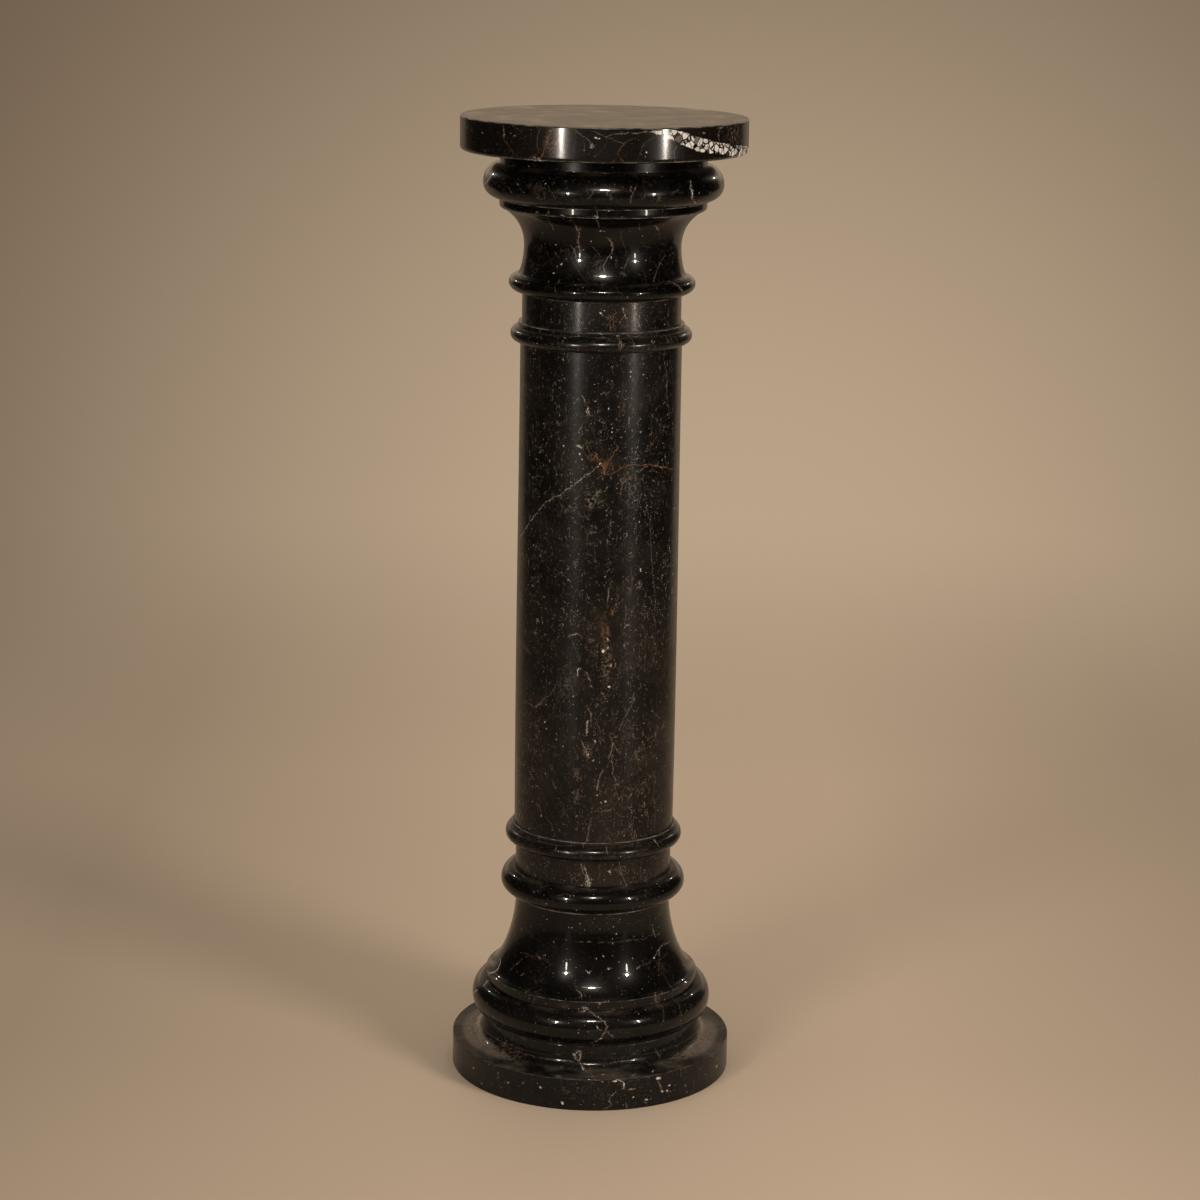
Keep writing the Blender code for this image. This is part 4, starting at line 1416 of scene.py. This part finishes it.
@dataclass
class Base(Stone):
    """Collar, flaring bell, step, big roll and a short foot set in under it."""

    node: ClassVar[str] = "base"
    top: float = 0.2284
    foot: float = 0.0602
    ring_head_radius: float = 0.0871
    ring: Point = (0.1007, 0.2125)
    ring_foot: Point = (0.0858, 0.1998)
    lip: Point = (0.0865, 0.1984)
    lip_foot: Point = (0.0846, 0.1969)
    flare_head: Point = (0.0843, 0.1966)
    flare_head_pull: float = 0.1578
    flare_foot_pull: Point = (0.1005, 0.1155)
    flare_foot: Point = (0.1145, 0.1105)
    step_radius: float = 0.1161
    step_top: float = 0.1097
    step_foot: float = 0.0992
    step_rounding: float = 0.0009
    torus: Point = (0.1313, 0.0800)
    torus_foot: Point = (0.1190, 0.0630)
    foot_radius: float = 0.1172

    def outline(self) -> Profile:
        """Follow the mouldings from the collar down to the set-in foot.

        Returns:
            The stone's outline.
        """
        profile = Profile(self.top - self.joint_gap)
        profile.to(self.ring_head_radius, self.top - self.joint_gap)
        profile.set_rim()
        profile.roll(profile.points[-1], self.ring, self.ring_foot, 14)
        # The lip under the ring takes the full pale edge line: a painted highlight.
        profile.roll(self.ring_foot, self.lip, self.lip_foot, 6)
        profile.arris(6)
        profile.arris(4)
        profile.crease()
        profile.sweep(self.flare_head, (self.flare_head[0], self.flare_head_pull),
                      self.flare_foot_pull, self.flare_foot, 40)
        profile.upper_edge(self.step_radius, self.step_top, self.step_rounding, 4)
        profile.arris(2, 0.35)
        profile.roll((self.step_radius, self.step_foot), self.torus, self.torus_foot, 18)
        profile.to(self.foot_radius, self.torus_foot[1])
        profile.crease()
        profile.to(self.foot_radius, self.foot)
        profile.close()
        return profile

    def marble(self) -> Marble:
        """Black marble with fine pale veins.

        Returns:
            The block that the stone is cut from.
        """
        veins = (
            Vein(((-22, 15), (-18, 11), (-14, 12), (-12, 8)), Tint.TAN, 0.9, 0.8),
            Vein(((-30, 79), (-20, 79), (-10, 79.5), (0, 79), (10, 79.5), (20, 80), (30, 80), (40, 81),
                  (50, 81), (57, 81), (64, 80)), Tint.CREAM, 0.45, 0.8, 1.0),
            Vein(((10, 79.5), (20, 80), (30, 80), (44, 81)), Tint.TAN, 0.4, 0.6, 0.6),
            Vein(((50, 74), (51, 79), (52.5, 84)), Tint.CREAM, 1.3, 0.9, 0.5),
            Vein(((-56, 106), (-51, 104), (-46, 103), (-40, 102), (-35, 102.5), (-29, 103)), Tint.ROSE,
                 0.7, 0.8, 0.7),
            Vein(((-50, 107), (-44, 105), (-38, 104.5), (-32, 104.5), (-26, 107)), Tint.ROSE, 0.6,
                 0.8, 0.7),
            Vein(((-41, 99), (-39, 101), (-37, 104)), Tint.CREAM, 1.2, 0.8),
            Vein(((-52, 110), (-55, 117), (-58, 124), (-59, 129)), Tint.ROSE, 1.3, 0.8, 0.7),
            Vein(((-46, 124), (-48, 128)), Tint.CREAM, 1.5, 0.9),
            Vein(((45, 106), (48, 103), (50, 99), (54, 97), (58, 95), (64, 96.5), (71, 98)), Tint.CREAM,
                 1.3, 0.95, 0.5),
            Vein(((31, 112), (33, 110), (34.5, 108.5)), Tint.WHITE, 1.3, 0.9),
            Vein(((35, 109), (41, 108), (48, 108), (54, 108)), Tint.TAN, 0.6, 0.8),
            Vein(((48, 112), (52, 110), (58, 107), (62, 106)), Tint.RUST, 0.9, 0.5, 0.7),
            Vein(((10, 109), (11.5, 107), (14, 108)), Tint.CREAM, 0.8, 0.9, 0.5),
            Vein(((-3.5, 109.5), (-2, 111.5), (0, 110.5)), Tint.WHITE, 1.2, 0.95, 0.1),
            Vein(((-14, 111), (-12.5, 117), (-10, 124), (-8, 132)), Tint.TAN, 0.8, 0.8, 0.6),
            Vein(((-8, 130), (-6, 134), (-5, 139)), Tint.CREAM, 1.1, 0.8),
            Vein(((-4, 133), (-3, 138)), Tint.TAN, 1.0, 0.8),
            Vein(((49, 112), (52, 124), (51, 138), (50, 150), (50, 162), (49, 172), (49, 181)),
                 Tint.TAN, 0.9, 0.8, 0.7),
            Vein(((38, 145), (38, 154), (39.5, 162), (38, 170), (37, 179)), Tint.ROSE, 1.3, 0.9, 0.5),
            Vein(((-78, 126), (-75, 128), (-72.5, 133), (-72, 139), (-74, 144), (-77, 149)),
                 Tint.WHITE, 2.6, 1.0, 0.1),
            Vein(((-79, 154), (-75, 158), (-72, 164)), Tint.WHITE, 2.0, 0.95, 0.3),
            Vein(((-75, 172), (-79, 178), (-84, 183)), Tint.WHITE, 1.4, 0.9, 0.3),
            Vein(((-1, 152), (0, 156), (1, 160), (4, 166), (7, 171), (8, 176), (7, 181), (6, 186),
                  (5.5, 191)), Tint.CREAM, 1.4, 1.0, 0.3),
            Vein(((3, 175), (3.5, 178), (5, 180)), Tint.WHITE, 1.2, 0.9, 0.1),
            Vein(((8, 181), (10, 185), (11.5, 189)), Tint.CREAM, 1.1, 0.8),
            Vein(((6, 187), (4.5, 190), (3, 194)), Tint.WHITE, 1.5, 0.9),
            Vein(((1.5, 196), (1, 206), (2.5, 214), (4.5, 220), (7, 227)), Tint.CREAM, 1.2, 0.9),
            Vein(((-31, 147), (-32, 153), (-33, 158)), Tint.TAN, 1.2, 0.6),
            Vein(((48, 30), (46, 50), (49, 68)), Tint.TAN, 0.7, 0.5),
            # The sides and the back, made up in keeping
            Vein(((92, 52), (88, 72), (94, 96), (90, 118), (96, 140), (93, 166)), Tint.CREAM, 0.9),
            Vein(((112, 92), (124, 99), (136, 95), (149, 104)), Tint.ROSE, 1.0),
            Vein(((-106, 60), (-110, 82), (-104, 104), (-109, 128), (-103, 150), (-107, 180)),
                 Tint.TAN, 1.0),
            Vein(((-160, 110), (-149, 116), (-138, 112), (-126, 120)), Tint.CREAM, 0.8),
            Vein(((158, 64), (163, 88), (157, 112), (162, 138)), Tint.TAN, 0.9),
        )
        patches = (
            Patch((-4, 155), (6, 4.5), Tint.CREAM, 0.9, Grain.COARSE),
            Patch((-3, 154), (3, 2.4), Tint.WHITE, 0.9, Grain.FINE),
            Patch((10, 156), (6, 3.4), Tint.ROSE, 0.8, Grain.FINE),
            Patch((5, 147), (1.6, 1.6), Tint.RUST, 1.0),
            Patch((38, 152), (5, 12), Tint.ROSE, 0.6, Grain.FINE),
            Patch((32, 76), (1.1, 0.9), Tint.TAN),
            Patch((52, 102), (4, 3), Tint.CREAM, 0.7, Grain.FINE),
            Patch((50, 118), (6, 10), Tint.RUST, 0.25, Grain.FINE),
            Patch((3, 222), (3, 4), Tint.WHITE, 0.8, Grain.FINE),
            Patch((-14, 152), (5, 4), Tint.GREY, 0.6, Grain.FINE),
            *spots(Tint.WHITE, (8.5, 94, 1.1, 1.0), (18.5, 71.5, 0.8, 1.0), (-17, 65, 0.9, 0.7),
                   (-14.5, 65, 0.9, 0.7), (46.5, 105, 1.5, 1.1), (11.5, 108.5, 0.7, 0.7)),
            *spots(Tint.CREAM, (-5, 66, 0.9, 0.7), (2, 53, 0.9, 0.9), (13.5, 50, 0.8, 0.9),
                   (-27.5, 83, 1.0, 1.0), (-33, 99, 1.1, 1.1), (-35, 59, 1.1, 1.0), (-29, 25, 0.9, 1.0)),
        )
        # The strong edge setting is for the painted highlight on the lip under the ring.
        return Marble(ground=(0.0034, 0.0031, 0.0029), cloud=(0.0080, 0.0071, 0.0063), sparks=0.10,
                      speckle=0.09, wear_and_highlight=0.9, veins=veins, patches=patches)


@dataclass
class Plinth(Stone):
    """A short neck that spreads through a cove on to the disc that stands on the ground."""

    node: ClassVar[str] = "plinth"
    top: float = 0.0602
    neck_radius: float = 0.1190
    cove_radius: float = 0.1310
    radius: float = 0.1528
    disc_height: float = 0.0355
    arris_rounding: float = 0.0010

    def outline(self) -> Profile:
        """Follow the neck, the cove, the flat and the disc's side.

        Returns:
            The stone's outline.
        """
        top = self.top - self.joint_gap
        spread = self.cove_radius - self.neck_radius
        profile = Profile(top)
        profile.upper_edge(self.neck_radius, top, self.arris_rounding, 4)
        profile.set_rim()
        profile.arc((self.cove_radius, self.disc_height + spread), spread, spread, 180, 270, 16)
        profile.crease()
        profile.upper_edge(self.radius, self.disc_height, self.arris_rounding, 4)
        profile.lower_edge(self.radius, 0.0, self.arris_rounding, 4)
        profile.close()
        return profile

    def marble(self) -> Marble:
        """Duller black marble, dusty where the cove meets the flat, with a pale tan film on the flat towards
        the left and right that is partly dust and partly painted reflection.

        Returns:
            The block that the stone is cut from.
        """
        veins = (
            Vein(((-8.5, 10), (-7.2, 6), (-5.0, 4)), Tint.WHITE, 1.0, 0.9, 0.7),
            Vein(((-5.4, 3), (-4.8, 7), (-5.6, 12), (-6, 15)), Tint.WHITE, 1.2, 0.95, 0.5),
            Vein(((-8.9, 8), (-8, 12), (-5.2, 16), (-3.8, 21), (-3.2, 27)), Tint.WHITE, 1.3, 0.95, 0.5),
            Vein(((-3.5, 25), (-1.5, 27), (0, 31)), Tint.CREAM, 1.0, 0.8),
            Vein(((0, 22), (0.5, 30), (1.5, 40), (-1, 46)), Tint.TAN, 1.6, 0.8, 0.6),
            Vein(((-54, 18), (-50, 17), (-46, 17), (-40, 17), (-35, 17), (-30, 17.5), (-25, 17),
                  (-19, 17), (-15, 15.5), (-10, 16)), Tint.RUST, 0.9, 0.8, 0.85),
            Vein(((-17, 14.5), (-15, 16), (-12, 15.5), (-8, 17)), Tint.CREAM, 0.9, 0.8, 0.7),
            Vein(((10, 18), (15, 17), (20, 16.5), (25, 17), (30, 18)), Tint.CREAM, 0.9, 0.8, 0.85),
            Vein(((-49.5, 9), (-51, 13), (-52, 18)), Tint.CREAM, 1.2, 0.9, 0.3),
            Vein(((36.5, 9), (38, 13), (39, 20)), Tint.ROSE, 1.4, 0.8, 0.6),
            Vein(((10, 28), (10.5, 35), (10, 44)), Tint.TAN, 1.8, 0.8, 0.6),
            Vein(((29.5, 39), (28.5, 42), (27.5, 45)), Tint.WHITE, 1.8, 0.9, 0.2),
            Vein(((10, 50), (12, 53), (14, 57), (13.8, 63)), Tint.WHITE, 1.5, 0.95, 0.5),
            Vein(((11, 65), (9.5, 70), (8, 75), (9.3, 80)), Tint.CREAM, 1.2, 0.9, 0.4),
            Vein(((9, 81), (7.5, 83), (6, 86)), Tint.ROSE, 1.4, 0.9, 0.3),
            Vein(((15, 79), (15.5, 84), (15.5, 92)), Tint.CREAM, 1.4, 0.8),
            Vein(((28, 54), (29, 60), (30, 65), (31, 72)), Tint.CREAM, 1.3, 0.9, 0.6),
            Vein(((36, 30), (38, 38), (36, 46)), Tint.TAN, 1.6, 0.6),
            Vein(((-44, 30), (-42, 36), (-40, 42)), Tint.TAN, 1.4, 0.6),
            Vein(((-56, 88), (-52, 94)), Tint.CREAM, 1.4, 0.8),
            # The sides and the back, made up in keeping
            Vein(((98, 22), (95, 36), (99, 52), (96, 70), (101, 84)), Tint.CREAM, 1.2),
            Vein(((-126, 20), (-122, 34), (-128, 50), (-124, 66), (-129, 82)), Tint.TAN, 1.3),
            Vein(((150, 56), (153, 66), (149, 78)), Tint.RUST, 1.2),
            Vein(((-104, 60), (-98, 64), (-91, 62)), Tint.CREAM, 1.0),
        )
        patches = (
            Patch((-51.5, 16), (6, 3), Tint.RUST, 0.6, Grain.FINE),
            # Pale tan film on the flat towards the left and right: partly dust, partly painted reflection of
            # the pale backdrop at grazing angles.
            Patch((-84, 31), (80, 13), Tint.DUST_AND_SHEEN, 0.30),
            Patch((-84, 30), (80, 12), Tint.DUST_AND_SHEEN, 0.60, Grain.COARSE),
            Patch((-68, 25), (26, 7), Tint.DUST_AND_SHEEN, 0.7, Grain.FINE),
            Patch((-78, 24), (18, 5), Tint.DUST_AND_SHEEN, 0.5, Grain.COARSE),
            Patch((76, 31), (60, 13), Tint.DUST_AND_SHEEN, 0.20),
            Patch((76, 30), (60, 12), Tint.DUST_AND_SHEEN, 0.42, Grain.COARSE),
            Patch((66, 26), (24, 8), Tint.DUST_AND_SHEEN, 0.3, Grain.FINE),
            # Two dark spots on the flat stand for small pits: their darkness is painted shade.
            Patch((52, 30), (3, 1.6), Tint.BLACK, 0.9),
            Patch((57, 33), (2.4, 1.4), Tint.BLACK, 0.9),
            Patch((-44, 20), (16, 5), Tint.RUST, 0.25, Grain.COARSE),
            Patch((-6.5, 8), (5, 6), Tint.CREAM, 0.5, Grain.FINE),
            Patch((17.5, 65), (2.2, 1.2), Tint.RUST, 1.0),
            Patch((16.5, 64.5), (1.3, 1.0), Tint.CREAM, 0.9),
            Patch((-10.8, 79.5), (1.4, 2.4), Tint.WHITE, 1.0),
            Patch((29, 56), (2.2, 1.6), Tint.WHITE, 1.0),
            Patch((12.5, 47), (3.4, 3), Tint.ROSE, 0.8, Grain.FINE),
            Patch((10, 53), (2.0, 1.4), Tint.WHITE, 0.9),
            *spots(Tint.WHITE, (33, 73, 1.1, 1.1), (34, 68, 1.1, 1.0), (31, 72, 1.0, 1.0),
                   (24, 79, 1.1, 1.0), (18, 73.5, 1.1, 1.0), (-20, 65, 1.0, 1.0)),
            *spots(Tint.CREAM, (6, 37, 1.4, 2.8), (66, 70, 2.2, 2.0), (-35, 67, 1.3, 1.0),
                   (-50, 80, 1.6, 1.0), (-56, 67, 1.6, 1.2), (-28, 63, 1.1, 0.9), (5, 54, 0.9, 0.9),
                   (37, 70, 0.9, 0.9), (43, 73, 0.9, 0.9)),
        )
        return Marble(ground=(0.0052, 0.0050, 0.0049), cloud=(0.0118, 0.0112, 0.0108), roughness=0.32,
                      polish=0.36, polish_roughness=0.09, speckle=0.2, dust=0.14, wear_and_highlight=0.22,
                      veins=veins, patches=patches)


@dataclass(frozen=True)
class Lamp:
    """A lamp on a stand: where it is, seen from the pedestal's axis, and what it gives.

    Aim is the height on the axis that it is turned to, and spread how wide it shines in degrees.
    A lamp either glints in the polish or lights the stone and the floor.
    """

    TONE: ClassVar[Colour] = (1.0, 0.88, 0.76)

    name: str
    round_from_front: float
    distance: float
    height: float
    wide: float
    tall: float
    power: float
    glints: bool
    aim: float = 0.5
    spread: float = 180.0

    def place(self) -> bpy.types.Object:
        """Set up the lamp, turned to its aim on the axis.

        Returns:
            The lamp.
        """
        angle = math.radians(self.round_from_front)
        spot = Vector((self.distance * math.sin(angle), -self.distance * math.cos(angle),
                       self.height))
        light = bpy.data.lights.new(self.name, "AREA")
        light.shape = "ELLIPSE"
        light.size = self.wide
        light.size_y = self.tall
        light.energy = self.power
        light.color = self.TONE
        light.spread = math.radians(self.spread)
        lamp = bpy.data.objects.new(self.name, light)
        lamp.matrix_world = Matrix.Translation(spot) @ (
            Vector((0, 0, self.aim)) - spot).to_track_quat("-Z", "Y").to_matrix().to_4x4()
        lamp.visible_camera = False
        lamp.visible_glossy = self.glints
        lamp.visible_diffuse = not self.glints
        bpy.context.scene.collection.objects.link(lamp)
        return lamp


@dataclass
class Studio:
    """A pale floor with a painted pool of light on it, a warm backdrop, small lamps that only glint, and
    soft light.

    The camera sees the backdrop as paper with a pool of light on it. The polish mirrors a wall
    that ends at each side, with a brighter sheet of paper hung low on it. A ramp is a start and
    an end, and what they become.
    """

    floor_radius: float = 3.2
    floor_colour: Colour = (0.65, 0.53, 0.415)
    floor_solid_to: float = 0.9
    # The floor's painted pool of light: where it is palest, how it darkens aside and brightens behind.
    floor_pool_middle: float = 0.1
    floor_pool_aside: Ramp = (0.25, 0.75, 1.0, 0.72)
    floor_pool_behind: Ramp = (0.0, 1.1, 1.05, 1.28)
    backdrop: Colour = (0.49, 0.368, 0.250)
    backdrop_edge: Colour = (0.142, 0.099, 0.063)
    wall: Colour = (0.46, 0.345, 0.235)
    sheet: Colour = (0.80, 0.60, 0.415)
    sheet_edge: Point = (0.26, 0.14)
    sheet_share: float = 0.9
    wall_reach: float = 54.0
    wall_fade: float = 6.0
    wall_height: float = 0.35
    wall_middle: Ramp = (4.0, 34.0, 0.45, 0.9)
    wall_right: Ramp = (-20.0, 20.0, 0.8, 1.0)
    wall_foot: Ramp = (-0.24, -0.11, 1.0, 0.70)
    fill: Colour = (0.30, 0.265, 0.22)
    room: Colour = (0.008, 0.0065, 0.0055)
    pool: tuple[float, float, float] = (0.045, 0.965, -0.235)
    pool_edge: Point = (0.36, 0.02)

    lamps: ClassVar[tuple[Lamp, ...]] = (
        Lamp("left_glint", -32.5, 1.80, 0.920, 0.09, 0.085, 7.5, True),
        Lamp("left_wing", -32.5, 1.82, 0.915, 0.36, 0.075, 0.55, True),
        Lamp("left_tail", -32.5, 1.81, 0.715, 0.07, 0.22, 2.3, True),
        Lamp("right_glint", 47.0, 1.80, 0.920, 0.085, 0.085, 7.5, True),
        Lamp("right_wing", 47.0, 1.82, 0.915, 0.36, 0.075, 0.55, True),
        Lamp("right_tail", 47.0, 1.81, 0.715, 0.07, 0.22, 2.3, True),
        Lamp("left_strip", -31.8, 0.93, 0.44, 0.26, 0.70, 0.011, True, 0.63, 40.0),
        Lamp("right_strip", 46.1, 0.93, 0.44, 0.26, 0.70, 0.011, True, 0.63, 40.0),
        Lamp("front_glint", 1.0, 1.40, 1.42, 0.24, 0.07, 13.0, True),
        Lamp("front_wide", 1.0, 1.41, 1.42, 0.66, 0.06, 1.8, True),
        Lamp("back_left_glint", -140.0, 3.0, 1.75, 0.10, 0.08, 3.0, True),
        Lamp("back_right_glint", 140.0, 3.0, 1.75, 0.10, 0.08, 3.0, True),
        Lamp("left_soft", -34.0, 2.5, 1.45, 0.8, 0.8, 18.5, False),
        Lamp("right_soft", 48.0, 2.5, 1.45, 0.8, 0.8, 31.0, False),
        Lamp("top_soft", 170.0, 1.6, 3.2, 1.8, 1.8, 10.0, False),
    )

    def lay_floor(self) -> None:
        """Lay a round pale floor with a painted pool of light on it, that fades into the backdrop."""
        shape = bmesh.new()
        bmesh.ops.create_circle(shape, cap_ends=True, segments=128, radius=self.floor_radius)
        mesh = bpy.data.meshes.new("floor")
        shape.to_mesh(mesh)
        shape.free()
        floor = bpy.data.objects.new("floor", mesh)
        bpy.context.scene.collection.objects.link(floor)
        bench = Bench("floor_paper")
        place = bench.node("TexCoord").outputs["Object"]
        away = bench.node("VectorMath", {0: place}, operation="LENGTH").outputs["Value"]
        parts = bench.node("SeparateXYZ", {0: place}).outputs
        # Painted pool of light: the floor's colour is palest near the middle and further behind, and darker
        # to the sides.
        aside = bench.calc("ABSOLUTE", bench.calc("SUBTRACT", parts["X"], self.floor_pool_middle))
        pale = bench.calc("MULTIPLY", bench.span(aside, *self.floor_pool_aside),
                          bench.span(parts["Y"], *self.floor_pool_behind))
        colour = bench.node("VectorMath", {0: self.floor_colour, "Scale": pale}, operation="SCALE")
        bench.wire(bench.shader.inputs["Base Color"], colour.outputs[0])
        bench.shader.inputs["Roughness"].default_value = 0.9
        bench.shader.inputs["Specular IOR Level"].default_value = 0.1
        clear = bench.node("BsdfTransparent").outputs[0]
        share = bench.ease(away, self.floor_solid_to, self.floor_radius * 0.95)
        joined = bench.node("MixShader", {0: share, 1: bench.shader.outputs[0], 2: clear})
        output = next(n for n in bench.tree.nodes if n.type == "OUTPUT_MATERIAL")
        bench.wire(output.inputs["Surface"], joined.outputs[0])
        mesh.materials.append(bench.material)

    def hang_backdrop(self) -> None:
        """Light the world: warm paper behind the pedestal, a dark room before it, soft fill.

        What a ray meets depends on what it is for: the view, a mirrored view, or soft light.
        """
        world = bpy.data.worlds.new("studio")
        world.use_nodes = True
        bpy.context.scene.world = world
        bench = Bench.for_tree(world.node_tree)
        direction = bench.node("TexCoord").outputs["Generated"]
        parts = bench.node("SeparateXYZ", {0: direction}).outputs
        turn = bench.calc("DEGREES", bench.calc("ARCTAN2", parts[0], parts[1]))
        aside = bench.span(turn, *self.wall_right)
        narrow = bench.span(parts[2], *self.wall_foot)
        turn = bench.calc("DIVIDE", bench.calc("ABSOLUTE", turn), narrow)
        wide = bench.ease(turn, self.wall_reach, self.wall_reach - self.wall_fade)
        wide = bench.calc("MULTIPLY", wide, bench.span(turn, *self.wall_middle))
        wide = bench.calc("MULTIPLY", wide, aside)
        low = bench.ease(parts[2], self.wall_height + 0.2, self.wall_height - 0.1)
        above = bench.calc("MULTIPLY", bench.ease(parts[2], 0.0, 0.05), bench.ease(turn, 60.0, 30.0))
        wide = bench.calc("MAXIMUM", wide, bench.calc("MULTIPLY", above, self.sheet_share))
        share = bench.calc("MULTIPLY", wide, low)
        mirrored = bench.blend(self.room, self.wall, share)
        above = bench.calc("MULTIPLY", above, bench.ease(parts[2], *self.sheet_edge))
        mirrored = bench.blend(mirrored, self.sheet, above)
        away = bench.node("VectorMath", {0: direction, 1: self.pool}, operation="DISTANCE")
        pool = bench.ease(away.outputs["Value"], *self.pool_edge)
        seen = bench.blend(self.backdrop_edge, self.backdrop, pool)
        ray = bench.node("LightPath").outputs
        colour = bench.blend(mirrored, self.fill, ray["Is Diffuse Ray"])
        colour = bench.blend(colour, seen, ray["Is Camera Ray"])
        background = world.node_tree.nodes["Background"]
        bench.wire(background.inputs["Color"], colour)
        background.inputs["Strength"].default_value = 1.0

    def build(self) -> None:
        """Lay the floor, hang the backdrop and place the lamps."""
        self.lay_floor()
        self.hang_backdrop()
        for lamp in self.lamps:
            lamp.place()
        bpy.context.scene.view_settings.view_transform = "Standard"


@dataclass(frozen=True)
class PhotoCamera:
    """The camera of the photograph: where it stands and how it is turned, in metres and degrees."""

    distance: float = 3.29346
    height: float = 1.30543
    pitch: float = 13.316
    yaw: float = 0.056
    roll: float = 0.930
    lens: float = 94.107
    sensor: float = 36.0

    def place(self) -> bpy.types.Object:
        """Set up the camera and make it the scene's own.

        Returns:
            The camera.
        """
        pitch, yaw, roll = (math.radians(angle) for angle in (self.pitch, self.yaw, self.roll))
        ahead = Vector((math.sin(yaw) * math.cos(pitch), math.cos(yaw) * math.cos(pitch),
                        -math.sin(pitch)))
        level = Vector((math.cos(yaw), -math.sin(yaw), 0.0))
        upright = level.cross(ahead)
        right = math.cos(roll) * level + math.sin(roll) * upright
        up = -math.sin(roll) * level + math.cos(roll) * upright
        data = bpy.data.cameras.new("photo_camera")
        data.lens = self.lens
        data.sensor_width = self.sensor
        camera = bpy.data.objects.new("photo_camera", data)
        turn = Matrix((right, up, -ahead)).transposed().to_4x4()
        camera.matrix_world = Matrix.Translation((0.0, -self.distance, self.height)) @ turn
        bpy.context.scene.collection.objects.link(camera)
        bpy.context.scene.camera = camera
        return camera


def main() -> None:
    """Build the camera, the studio and the five stones."""
    logging.basicConfig(level=logging.INFO, format="%(name)s: %(message)s")
    PhotoCamera().place()
    Studio().build()
    for stone in (TopSlab(), Capital(), Shaft(), Base(), Plinth()):
        stone.build()


if __name__ == "__main__":
    main()
